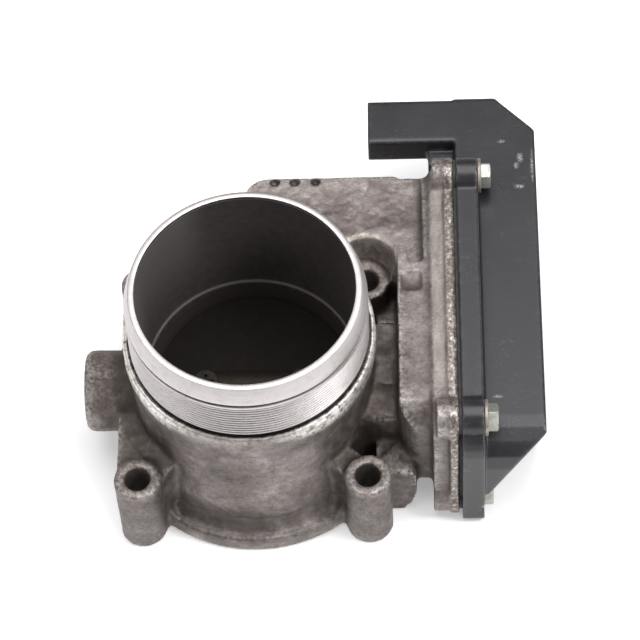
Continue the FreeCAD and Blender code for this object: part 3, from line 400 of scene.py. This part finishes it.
def plastic_material(name, base, rough, scuff=0.4, grain=0.35):
    m = Mat(name, base, rough, 0.0)
    fine = m.noise(grain, 3, 0.6)
    big = m.noise(16, 5, 0.6)
    c = m.mix(m.steps(big, (0.35, 0.0), (0.65, 1.0)), tuple(v * 0.82 for v in base), tuple(v * 1.18 for v in base))
    dust = m.steps(m.noise(0.8, 5, 0.75), (0.56, 0.0), (0.72, 1.0))
    zone = m.steps(m.noise(11, 4, 0.6), (0.52, 0.0), (0.7, 1.0))
    c = m.mix(m.math("MULTIPLY", m.math("MULTIPLY", dust, zone), scuff), c, (0.28, 0.27, 0.255))
    scr = m.steps(m.noise(1.2, 4, 0.7, stretch=(0.25, 3.0, 0.6)), (0.62, 0.0), (0.7, 1.0))
    c = m.mix(m.math("MULTIPLY", scr, scuff * 0.35), c, (0.2, 0.2, 0.2))
    worn = m.math("MULTIPLY", m.attr("edge"), m.steps(m.noise(1.6, 5, 0.7), (0.4, 0.15), (0.62, 1.0)))
    c = m.mix(m.math("MULTIPLY", worn, 0.45), c, (0.2, 0.2, 0.2))
    hit = m.math("MULTIPLY", m.attr("scuff"), m.steps(m.noise(0.7, 5, 0.75), (0.42, 0.0), (0.58, 0.85)))
    c = m.mix(hit, c, (0.42, 0.40, 0.39))
    m.color(c)
    m.rough(m.steps(m.math("ADD", m.math("MULTIPLY", big, 0.5), m.math("MULTIPLY", fine, 0.5)), (0.35, rough - 0.08), (0.65, rough + 0.1)))
    m.bump(fine, 0.035, 0.6)
    return m.m


def metal_material(name, base, rough, stain=(0.2, 0.15, 0.1), amount=0.3, metal=1.0, size=2.0, grain=0.3, depth=0.03):
    m = Mat(name, base, rough, metal)
    a = m.noise(size, 6, 0.7)
    f = m.noise(grain, 3, 0.6)
    c = m.mix(m.steps(f, (0.3, 0.0), (0.7, 1.0)), tuple(v * 0.82 for v in base), base)
    s = m.math("MULTIPLY", m.steps(a, (0.5, 0.0), (0.66, 1.0)), amount)
    m.color(m.mix(s, c, stain))
    m.rough(m.steps(m.math("ADD", m.math("MULTIPLY", f, 0.4), m.math("MULTIPLY", a, 0.6)), (0.3, rough - 0.06), (0.7, rough + 0.16)))
    m.bump(m.math("ADD", f, m.math("MULTIPLY", a, 0.8)), depth, 0.7)
    return m.m


def rubber_material(name, base=(0.02, 0.02, 0.02)):
    m = Mat(name, base, 0.75, 0.0)
    f = m.noise(0.25, 4, 0.6)
    m.color(m.mix(m.steps(m.noise(3, 5, 0.6), (0.4, 0.0), (0.7, 1.0)), base, (0.05, 0.047, 0.044)))
    m.bump(f, 0.03, 0.6)
    return m.m


CAST = cast_material()
NECK = ring_material("turned_neck", (0.61, 0.570, 0.570), (0.38, 0.34, 0.325), 0.40, 0.45)
BORE = ring_material("bore_wall", (0.25, 0.226, 0.222), (0.18, 0.158, 0.150), 0.42, 0.35, 0.3, 0.4)
COVER = plastic_material("black_cover_plastic", (0.0158, 0.0142, 0.0176), 0.34, 0.5)
RUBBER = rubber_material("gasket_rubber_black")
ZINC = metal_material("dull_zinc", (0.52, 0.54, 0.49), 0.42, (0.24, 0.2, 0.13), 0.5, 1.0, 1.8, 0.25, 0.05)
WASHER = metal_material("rusty_washer", (0.40, 0.35, 0.31), 0.5, (0.16, 0.085, 0.045), 0.8, 0.75, 1.4, 0.25, 0.06)
LOOKS = {
    "cast_aluminium": CAST, "cover_plastic": COVER, "gasket_rubber": RUBBER, "zinc_screw": ZINC, "washer_steel": WASHER,
    "bearing_steel": metal_material("bearing_ground_steel", (0.62, 0.62, 0.63), 0.22, (0.3, 0.28, 0.25), 0.2),
    "brass_part": metal_material("plain_brass", (0.62, 0.47, 0.22), 0.32, (0.3, 0.2, 0.08), 0.3),
    "seal_rubber": RUBBER,
    "plug_steel": metal_material("plug_pressed_steel", (0.48, 0.47, 0.46), 0.38, (0.2, 0.13, 0.08), 0.5),
    # the shaft, the plate and the plate's screws are near-black: painted shade deep in the bore, with a carbon deposit
    # on the plate
    "shaft_steel": metal_material("shaft_dark_steel", (0.03, 0.024, 0.02), 0.5, (0.012, 0.01, 0.008), 0.6, 0.5),
    "plate_metal": metal_material("sooty_shaded_plate", (0.010, 0.008, 0.007), 0.7, (0.018, 0.013, 0.010), 0.5, 0.0, 5.0, 0.5, 0.04),
    "dark_screw": metal_material("dark_screw_steel", (0.025, 0.022, 0.02), 0.5, (0.012, 0.01, 0.008), 0.5, 0.5),
    "gear_plastic": plastic_material("natural_nylon", (0.62, 0.60, 0.53), 0.45, 0.15),
    "pinion_metal": metal_material("pinion_brass", (0.6, 0.48, 0.25), 0.32, (0.3, 0.2, 0.08), 0.3),
    "rotor_plastic": plastic_material("rotor_black_plastic", (0.05, 0.05, 0.05), 0.5, 0.1),
    "can_steel": metal_material("can_zinc_steel", (0.5, 0.5, 0.5), 0.34, (0.25, 0.22, 0.18), 0.3),
    "magnet": metal_material("ferrite_magnet", (0.1, 0.1, 0.105), 0.55, (0.05, 0.05, 0.05), 0.5, 0.3),
    "end_plate_plastic": plastic_material("end_plate_black_plastic", (0.06, 0.06, 0.062), 0.5, 0.1),
    "carbon": metal_material("brush_carbon", (0.04, 0.04, 0.04), 0.6, (0.02, 0.02, 0.02), 0.5, 0.1),
    "copper_alloy": metal_material("contact_copper", (0.72, 0.5, 0.28), 0.3, (0.35, 0.2, 0.1), 0.3),
    "spring_steel": metal_material("spring_wire_steel", (0.3, 0.3, 0.31), 0.33, (0.15, 0.12, 0.1), 0.3),
    "board_green": plastic_material("board_green_lacquer", (0.03, 0.16, 0.06), 0.35, 0.1),
    "winding_copper": metal_material("enamelled_copper", (0.6, 0.26, 0.1), 0.3, (0.3, 0.12, 0.04), 0.4, 1.0, 1.5, 0.3, 0.08),
}
slot_of = {s["node"]: s["material_slot"] for s in frame["record"]["subparts"]}
for k in ("plate_metal", "dark_screw", "shaft_steel"):
    LOOKS[k].node_tree.nodes["Principled BSDF"].inputs["Specular IOR Level"].default_value = 0.12
for name, ob in nodes.items():
    ob.data.materials.clear()
    ob.data.materials.append(LOOKS[slot_of[name]])

# --------------------------------------------------------------------- casting
cast = copy_of("throttle_housing", "cast_body")
tool = lathe("collar_tool", [(0.0, 50.6), (34.5, 50.6), (34.5, 53.4), (46, 53.4), (46, 90), (0.0, 90)], 180, closed=False)
b = cast.modifiers.new("b", "BOOLEAN")
b.operation = "DIFFERENCE"
b.solver = "EXACT"
b.object = tool
applied(cast)
bpy.data.objects.remove(tool)
remeshed(cast, 0.55)
relaxed(cast, 0.5, 7)
# the mould's fillets: hollows are softened more than outer edges
curvature(cast, 26, "soft", "hard", 0.5)
co, no = coords(cast.data)
soft = np.array([v.value for v in cast.data.attributes["soft"].data])
soft = soft * (co[:, 2] > 1.0) * (co[:, 2] < 50.4) * (np.hypot(co[:, 0], co[:, 1]) > 33)
g = cast.vertex_groups.new(name="fillet")
for lo_ in np.arange(0.1, 1.0, 0.15):
    pick = np.nonzero((soft > lo_) & (soft <= lo_ + 0.15))[0]
    if len(pick):
        g.add([int(i) for i in pick], float(min(1.0, lo_ + 0.3)), "REPLACE")
m = cast.modifiers.new("f", "SMOOTH")
m.factor = 0.8
m.iterations = 22
m.vertex_group = "fillet"
applied(cast)
cast.vertex_groups.clear()
cast.data.attributes.remove(cast.data.attributes["soft"])
cast.data.attributes.remove(cast.data.attributes["hard"])
co, no = coords(cast.data)
d = np.hypot(co[:, 0] - 33, co[:, 1] - 33)
dish = (d > 8.2) * (d < 16.5) * (co[:, 2] > 29.5) * (co[:, 2] < 39.0) * (co[:, 1] > 30) * (co[:, 0] < 41.5) * (np.hypot(co[:, 0], co[:, 1]) > 36)
g = cast.vertex_groups.new(name="dish")
pick = np.nonzero(dish)[0]
if len(pick):
    g.add([int(i) for i in pick], 1.0, "REPLACE")
m = cast.modifiers.new("f", "SMOOTH")
m.factor = 0.9
m.iterations = 30
m.vertex_group = "dish"
applied(cast)
cast.vertex_groups.clear()
# the hollow measure is used as painted shade and dirt in the hollows, the edge measure as edge wear
curvature(cast, 70, "hollow_shade_and_dirt", "edge", 0.9)
co, no = coords(cast.data)
hollow_shade_and_dirt = np.array([v.value for v in cast.data.attributes["hollow_shade_and_dirt"].data])
# no painted shade in the bolt recess behind the rear-right boss
hollow_shade_and_dirt *= 1 - 0.95 * (1 - ramp(np.hypot(co[:, 0] - 33, co[:, 1] - 33), 13, 16)) * ramp(co[:, 2], 28.8, 29.6)
cast.data.attributes["hollow_shade_and_dirt"].data.foreach_set("value", hollow_shade_and_dirt.astype("f"))
co, no = coords(cast.data)
x, y, z = co.T
rad = np.hypot(x, y)
boss = np.full(len(x), 1e3)
for sx in (-33, 33):
    for sy in (-33, 33):
        boss = np.minimum(boss, np.hypot(x - sx, y - sy))
mach = 0.12 * ramp(no[:, 2], 0.85, 0.97) * (np.abs(z - 28.5) < 0.35) * (boss < 6.8)
mach = np.maximum(mach, 0.9 * ramp(x, 56.3, 56.8) * (z > 3))
attribute(cast.data, "strip", 0.8 * ramp(x, 51.5, 52.3) * (1 - ramp(x, 55.7, 56.3)) * ramp(y, -16, -10) * (1 - ramp(y, 54, 58)) * (z > 42))
mach = np.maximum(mach, (z < 0.4) * ramp(-no[:, 2], 0.8, 0.95))
attribute(cast.data, "mach", mach)
side = 0.15 + 0.85 * ramp(np.abs(x + 2), 8, 24)
attribute(cast.data, "chip", side * ramp(z, 51.1 - 4.4 * side, 52.7 - 2.2 * side) * ramp(rad, 33.2, 34.2) * (z < 53.7) * (rad < 37.5))
edge = np.array([v.value for v in cast.data.attributes["edge"].data])
edge *= 1 - 0.7 * (z > 50) * (1 - ramp(np.abs(x + 2), 8, 20))
edge *= 1 - 0.55 * (boss < 8)
edge *= 1 - 0.75 * (z < 14) * (y < -8) * (boss > 7)
edge *= 1 - 0.7 * ramp(17 - np.hypot(x - 33, y - 33), 0, 2) * (z > 30)
cast.data.attributes["edge"].data.foreach_set("value", edge.astype("f"))
# painted shade and dirt in the sheltered corners: below the collar, on the flange, between barrel and gear tub, on the
# front bosses' sides; painted shade also darkens the barrel's sides and the three dimples
shade_and_grime = 0.55 * ramp(-y, 20, 30) * ramp(z, 2, 5) * (1 - ramp(z, 12, 17)) * (rad < 44)
shade_and_grime = np.maximum(shade_and_grime, 0.6 * ramp(z, 38, 43) * (1 - ramp(z, 47, 50)) * ramp(np.abs(x), 12, 26) * (rad < 38))
shade_and_grime = np.maximum(shade_and_grime, 0.62 * ramp(x, 33, 40) * (1 - ramp(x, 50, 53)) * (1 - ramp(y, 24, 34)) * (1 - 0.5 * ramp(z, 40, 44)))
shade_and_grime = np.maximum(shade_and_grime, 0.75 * ramp(x, 49, 52) * (1 - ramp(x, 56, 57)) * ramp(y, 52, 57) * ramp(z, 30, 40))
shade_and_grime = np.maximum(shade_and_grime, 0.7 * ramp(x, 33, 38) * (1 - ramp(z, 24, 34)) * (1 - ramp(x, 48, 50)))
# painted shade down the barrel's sides
shade_and_grime = np.maximum(shade_and_grime, 0.8 * ramp(np.abs(x + 1), 15, 27) * ramp(z, 10, 14) * (1 - ramp(z, 44, 49)) * (rad < 41) * (y < 14))
shade_and_grime = np.maximum(shade_and_grime, 0.5 * (boss < 7.6) * (y < 0) * (1 - ramp(z, 25, 27.5)))
# painted shade in the three dimples on the motor block
for px in (6.1, 12.1, 18.3):
    shade_and_grime = np.maximum(shade_and_grime, (np.hypot(x - px, y - 61.9) < 1.5) * (z > 36) * 1.0)
attribute(cast.data, "shade_and_grime", np.clip(shade_and_grime, 0, 1))
rust = ramp(-x, 30, 38) * ramp(z, 24, 33) * 1.0
rust = np.maximum(rust, 0.8 * ramp(-x, 16, 22) * ramp(z, 16, 20) * (z < 27) * (y < -4) * (y > -27) * (rad < 46))
rust = np.maximum(rust, 0.55 * ramp(z, 15, 19) * (z < 26) * ramp(-x, 18, 26) * ramp(no[:, 2], 0.5, 0.9))
rust = np.maximum(rust, 0.7 * (x < -39) * ramp(z, 26, 32))
attribute(cast.data, "rust", rust)
# a paler tone on the up-facing tops of the left web
pale_and_painted_light = 0.5 * (z > 19) * (z < 24) * (x < -18) * ramp(no[:, 2], 0.8, 0.95)
# painted light: the bolt recess wall behind the rear-right boss is lightened to look lit
pale_and_painted_light = np.maximum(pale_and_painted_light, 0.65 * ramp(13.5 - np.hypot(x - 33, y - 33), 0, 1.5) * (np.hypot(x - 33, y - 33) > 7.0) * (z > 29) * (no[:, 2] < 0.97) * (y > 28))
attribute(cast.data, "pale_and_painted_light", pale_and_painted_light)
drop_faces(cast, lambda c, n: (np.hypot(c[:, 0], c[:, 1]) < 31.8) & ((n[:, 0] * c[:, 0] + n[:, 1] * c[:, 1]) < -6)
           | (np.hypot(c[:, 0], c[:, 1]) < 31.6) & (c[:, 2] < 0.6))
# waist below the collar, a lower flange edge, and the three small dimples on the motor block
co, no = coords(cast.data)
x, y, z = co.T
rad = np.hypot(x, y)
waist = 1.1 * ramp(z, 14, 26) * (1 - ramp(z, 40, 49)) * ramp(38.5 - rad, 0.0, 1.5) * (rad > 33.5)
co[:, 0] -= x / rad * waist
co[:, 1] -= y / rad * waist
near = np.full(len(x), 1e3)
for sx in (-33, 33):
    for sy in (-33, 33):
        near = np.minimum(near, np.hypot(x - sx, y - sy))
co[:, 2] -= 2.0 * ramp(z, 3, 9) * (1 - ramp(z, 12, 15)) * ramp(rad, 36.6, 40) * ramp(near, 8, 11) * (y < 0) * (rad < 45)
for px in (6.1, 12.1, 18.3):
    d = np.hypot(x - px, y - 61.9)
    co[:, 2] -= 1.1 * (1 - ramp(d, 0.5, 1.5)) * (z > 36)
put(cast.data, co)
tex = bpy.data.textures.new("lumps", "CLOUDS")
tex.noise_scale = 4.5 * MM
tex.noise_depth = 2
tex2 = bpy.data.textures.new("sand", "CLOUDS")
tex2.noise_scale = 0.8 * MM
tex2.noise_depth = 1
g = cast.vertex_groups.new(name="raw")
co, no = coords(cast.data)
x, y, z = co.T
raw = (1 - ramp(np.array([v.value for v in cast.data.attributes["mach"].data]), 0.2, 0.8)) * (z < 53.1) * (z > 0.8) * (x < 56) * (x > -48.6)
for w in (0.25, 0.5, 0.75, 1.0):
    pick = np.nonzero((raw > w - 0.25) & (raw <= w))[0]
    if len(pick):
        g.add([int(i) for i in pick], float(w), "REPLACE")
tex3 = bpy.data.textures.new("pocks", "CLOUDS")
tex3.noise_scale = 1.9 * MM
tex3.noise_depth = 3
patch = ramp(no[:, 2], 0.6, 0.9) * (z > 36) * (z < 40) * ramp(y, 34, 40) * (1 - ramp(y, 58, 61)) * ramp(x, -1, 4) * (1 - ramp(x, 43, 47))
patch = np.maximum(patch, 0.5 * ramp(z, 12, 16) * (1 - ramp(z, 45, 49)) * (rad < 45))
g3 = cast.vertex_groups.new(name="patch")
for w in (0.25, 0.5, 0.75, 1.0):
    pick = np.nonzero((patch > w - 0.25) & (patch <= w))[0]
    if len(pick):
        g3.add([int(i) for i in pick], float(w), "REPLACE")
d = cast.modifiers.new("p", "DISPLACE")
d.texture = tex3
d.texture_coords = "LOCAL"
d.strength = 0.55 * MM
d.mid_level = 0.75
d.vertex_group = "patch"
for t, s in ((tex, 0.3), (tex2, 0.09)):
    d = cast.modifiers.new("d", "DISPLACE")
    d.texture = t
    d.texture_coords = "LOCAL"
    d.strength = s * MM
    d.mid_level = 0.9
    d.vertex_group = "raw"
applied(cast)
dress(cast, CAST, "housing", ["throttle_housing"])

# ------------------------------------------------------- turned neck and bore
outer = [(33.7, 50.7), (33.7, 53.1), (33.6, 53.3), (33.6, 53.7)]
zz = 53.85
while zz < 67.2:
    outer += [(33.82, zz), (33.88, zz + 0.08), (34.14, zz + 0.22), (34.26, zz + 0.4), (34.3, zz + 0.58), (34.26, zz + 0.76), (34.14, zz + 0.94), (33.88, zz + 1.08), (33.82, zz + 1.16)]
    zz += 1.24
outer += [(34.1, 67.55), (34.3, 67.7), (34.3, 68.55), (34.2, 68.7), (33.4, 68.8), (33.2, 68.95), (33.2, 69.5), (33.4, 69.62), (34.1, 69.7), (34.3, 69.9),
          (34.3, 70.8), (34.24, 71.1), (32.84, 75.78), (32.76, 75.93), (32.6, 76.0)]
neck_profile = outer + [(31.22, 76.0), (31.1, 75.95), (31.04, 75.8), (31.04, 50.7)]
neck = lathe("turned_neck_ring", neck_profile, 480)
sharp(neck, 24)
co, no = coords(neck.data)
rr = np.hypot(co[:, 0], co[:, 1])
# painted shade and dirt: darker in the ridge valleys and the groove, where the radius is smaller
attribute(neck.data, "dirt", ramp(34.24 - rr, 0.05, 0.45) * (co[:, 2] < 69.8) * (rr > 32.9) * (0.55 + 0.45 * (co[:, 2] > 68.6)))
dress(neck, NECK, "housing")
bore_profile = [(33.0, 0.25), (32.0, 0.0), (29.3, 0.0), (28.9, 0.4), (28.9, 27.4), (28.95, 27.6), (30.15, 32.7), (30.2, 32.85), (30.66, 33.24),
                (30.72, 33.34), (30.76, 34.0), (31.0, 38.0), (31.0, 74.9), (31.04, 74.9), (33.0, 51.0)]
bore = lathe("bore_liner", bore_profile, 360)
tool = lathe("bore_tool", [(0.0, -60), (5.25, -60), (5.25, 60), (0.0, 60)], 64, (0, 0, SZ), "x", closed=False)
b = bore.modifiers.new("b", "BOOLEAN")
b.operation = "DIFFERENCE"
b.solver = "EXACT"
b.object = tool
applied(bore)
bpy.data.objects.remove(tool)
sharp(bore, 40)
co, no = coords(bore.data)
# painted shade in the bore: above the step the wall is darkened except on the left, where a diagonal edge leaves it
# lit, and below the step it is painted nearly black; the 'dirt' attribute carries this shade
turn = np.degrees(np.arctan2(co[:, 1], co[:, 0])) % 360
lit_wall = ramp(turn, 108 + 1.35 * (76 - co[:, 2]), 128 + 1.35 * (76 - co[:, 2])) * (1 - ramp(turn, 215, 240))
bore_shade = 0.74 * (1 - lit_wall) * (co[:, 2] > 33.4)
attribute(bore.data, "dirt", np.maximum(bore_shade, 1.3 * ramp(33.05 - co[:, 2], 0.0, 0.5) * (co[:, 2] > 0.5)))
dress(bore, BORE, "housing")

# ----------------------------------------------------------------------- cover
cover = remeshed(copy_of("gear_cover", "gear_cover_shell"), 0.42)
relaxed(cover, 0.5, 6)
curvature(cover, 40, "hollow_shade_and_dirt", "edge", 0.7)
co, no = coords(cover.data)
marks = np.zeros(len(co))
for px, py, rx, ry in ((79.4, 69.0, 0.9, 1.8), (78.2, 66.2, 0.7, 1.2), (78.9, 58.6, 1.6, 0.7), (82.9, 66.0, 0.4, 6.0), (74.0, 75.0, 1.2, 0.5), (70.4, -14.0, 1.5, 0.4)):
    marks = np.maximum(marks, 1 - ramp(np.hypot((co[:, 0] - px) / rx, (co[:, 1] - py) / ry), 0.5, 1.2))
attribute(cover.data, "scuff", marks * (co[:, 2] > 36))
dress(cover, COVER, "housing", ["gear_cover"])


# --------------------------------------------------------- screws and washers
def hex_screw(cx, cy, cz, af=7.0, h=3.3, shank=2.0, length=12.0, turn=0.0):
    """Hex head pointing +X with a turned chamfer, a shallow dish and its shank."""
    steps, rings = 96, []
    a0 = af / 2
    radii = [0.0, 0.25, 0.42, 0.55, 0.62, 0.8, 0.92, 1.0]
    verts, faces = [(cx + h - 0.35, cy, cz)], []
    for t in radii[1:]:
        row = []
        for i in range(steps):
            a = 2 * math.pi * i / steps
            k = (a + turn) % (math.pi / 3) - math.pi / 6
            edge = a0 / math.cos(k)
            r = edge * t
            dish = -0.35 if t < 0.5 else (-0.35 + 0.35 * (t - 0.5) / 0.1 if t < 0.6 else 0.0)
            drop = max(0.0, (r - a0 * 0.96) * 0.55)
            row.append(len(verts))
            verts.append((cx + h + dish - drop, cy + r * math.cos(a), cz + r * math.sin(a)))
        rings.append(row)
    low = []
    for depth, grow in ((-0.12, 0.03), (-h + 0.1, 0.03), (-h, -0.05)):
        row = []
        for i in range(steps):
            a = 2 * math.pi * i / steps
            k = (a + turn) % (math.pi / 3) - math.pi / 6
            edge = a0 / math.cos(k)
            drop = max(0.0, (edge - a0 * 0.96) * 0.55)
            xx = h - drop + depth if depth > -1 else h + depth
            row.append(len(verts))
            verts.append((cx + xx, cy + (edge + grow) * math.cos(a), cz + (edge + grow) * math.sin(a)))
        rings.append(row)
    for r, xx in ((shank, 0.0), (shank, -length), (shank - 0.5, -length - 0.6)):
        row = []
        for i in range(steps):
            a = 2 * math.pi * i / steps
            row.append(len(verts))
            verts.append((cx + xx, cy + r * math.cos(a), cz + r * math.sin(a)))
        rings.append(row)
    for i in range(steps):
        faces.append((0, rings[0][i], rings[0][(i + 1) % steps]))
    for p, q in zip(rings, rings[1:]):
        for i in range(steps):
            j = (i + 1) % steps
            faces.append((p[i], q[i], q[j], p[j]))
    verts.append((cx - length - 0.6, cy, cz))
    for i in range(steps):
        faces.append((rings[-1][(i + 1) % steps], rings[-1][i], len(verts) - 1))
    ob = make("screw", [tuple(v * MM for v in p) for p in verts], faces)
    bm = bmesh.new()
    bm.from_mesh(ob.data)
    bmesh.ops.recalc_face_normals(bm, faces=bm.faces)
    bm.to_mesh(ob.data)
    bm.free()
    return sharp(ob, 32)


def islands(node):
    """Boxes (low, high in mm) of the separate solids of a node."""
    bm = bmesh.new()
    bm.from_mesh(nodes[node].data)
    bmesh.ops.remove_doubles(bm, verts=bm.verts, dist=2e-6)
    seen, out = set(), []
    for v in bm.verts:
        if v in seen:
            continue
        stack, group = [v], []
        seen.add(v)
        while stack:
            w = stack.pop()
            group.append(w.co / MM)
            for e in w.link_edges:
                o = e.other_vert(w)
                if o not in seen:
                    seen.add(o)
                    stack.append(o)
        lo = [min(p[k] for p in group) for k in range(3)]
        hi = [max(p[k] for p in group) for k in range(3)]
        out.append((lo, hi))
    bm.free()
    return out


screws, washers = [], []
for i, (lo, hi) in enumerate(islands("cover_screws")):
    cy, cz = (lo[1] + hi[1]) / 2, (lo[2] + hi[2]) / 2
    top = hi[0]
    screws.append(hex_screw(top - 3.3, cy, cz, length=top - 3.3 - lo[0] - 0.6, turn=0.35 + 0.5 * i))
    w0 = top - 3.3 - 0.8
for i, (lo, hi) in enumerate(islands("cover_screw_washers")):
    cy, cz = (lo[1] + hi[1]) / 2, (lo[2] + hi[2]) / 2
    ro = (hi[1] - lo[1]) / 2
    prof = [(2.15, lo[0]), (ro - 0.15, lo[0]), (ro, lo[0] + 0.12), (ro, hi[0] - 0.2), (ro - 0.2, hi[0]), (2.3, hi[0]), (2.15, hi[0] - 0.1)]
    washers.append(sharp(lathe("w%d" % i, prof, 72, (0, cy, cz), "x"), 40))
dress(joined("cover_screw_heads", screws), ZINC, "housing", ["cover_screws"])
dress(joined("cover_screw_rings", washers), WASHER, "housing", ["cover_screw_washers"])

# --------------------------------------------------- floor, light and camera
me = bpy.data.meshes.new("floor")
s = 3.0
me.from_pydata([(-s, -s, -0.0004), (s, -s, -0.0004), (s, s, -0.0004), (-s, s, -0.0004)], [], [(0, 1, 2, 3)])
floor = link(bpy.data.objects.new("floor", me))
fm = bpy.data.materials.new("pale_floor")
fm.use_nodes = True
fm.node_tree.nodes["Principled BSDF"].inputs["Base Color"].default_value = (0.9, 0.9, 0.9, 1)
fm.node_tree.nodes["Principled BSDF"].inputs["Roughness"].default_value = 0.9
fm.node_tree.nodes["Principled BSDF"].inputs["Emission Color"].default_value = (1, 1, 1, 1)
fm.node_tree.nodes["Principled BSDF"].inputs["Emission Strength"].default_value = 0.3
me.materials.append(fm)

world = bpy.data.worlds.new("studio")
world.use_nodes = True
world.node_tree.nodes["Background"].inputs["Color"].default_value = (1, 1, 1, 1)
world.node_tree.nodes["Background"].inputs["Strength"].default_value = 0.17
scene.view_settings.view_transform = "Standard"
scene.view_settings.look = "None"
scene.world = world


def area(name, at, target, size, power):
    l = bpy.data.lights.new(name, "AREA")
    l.shape = "RECTANGLE"
    l.size, l.size_y = size
    l.energy = power
    o = link(bpy.data.objects.new(name, l))
    o.location = at
    o.rotation_euler = (Vector(target) - Vector(at)).to_track_quat("-Z", "Y").to_euler()
    return o


area("top", (0.0, 0.15, 1.0), (0, 0, 0.0), (0.9, 0.9), 9.5)
area("right", (0.52, -0.12, 0.72), (0, 0, 0.05), (0.26, 0.28), 3.7)
area("right_front", (0.4, -0.66, 0.45), (0, 0, 0.03), (0.3, 0.3), 1.25).data.specular_factor = 0.45
area("left", (-0.65, -0.2, 0.6), (0, 0, 0.03), (0.35, 0.5), 1.2)

right, up, fwd = Vector((0.9993, 0.0004, -0.0368)), Vector((0.0194, 0.8457, 0.5334)), Vector((-0.0313, 0.5338, -0.8451))
cam = bpy.data.cameras.new("camera")
co_ = link(bpy.data.objects.new("camera", cam))
M = Matrix((right, up, -fwd)).transposed().to_4x4()
M.translation = Vector((0.0491, -0.4889, 0.8331))
co_.matrix_world = M
cam.sensor_width = 36
cam.lens = 3241 / 640 * 36
cam.clip_start = 0.01
cam.clip_end = 10
scene.camera = co_
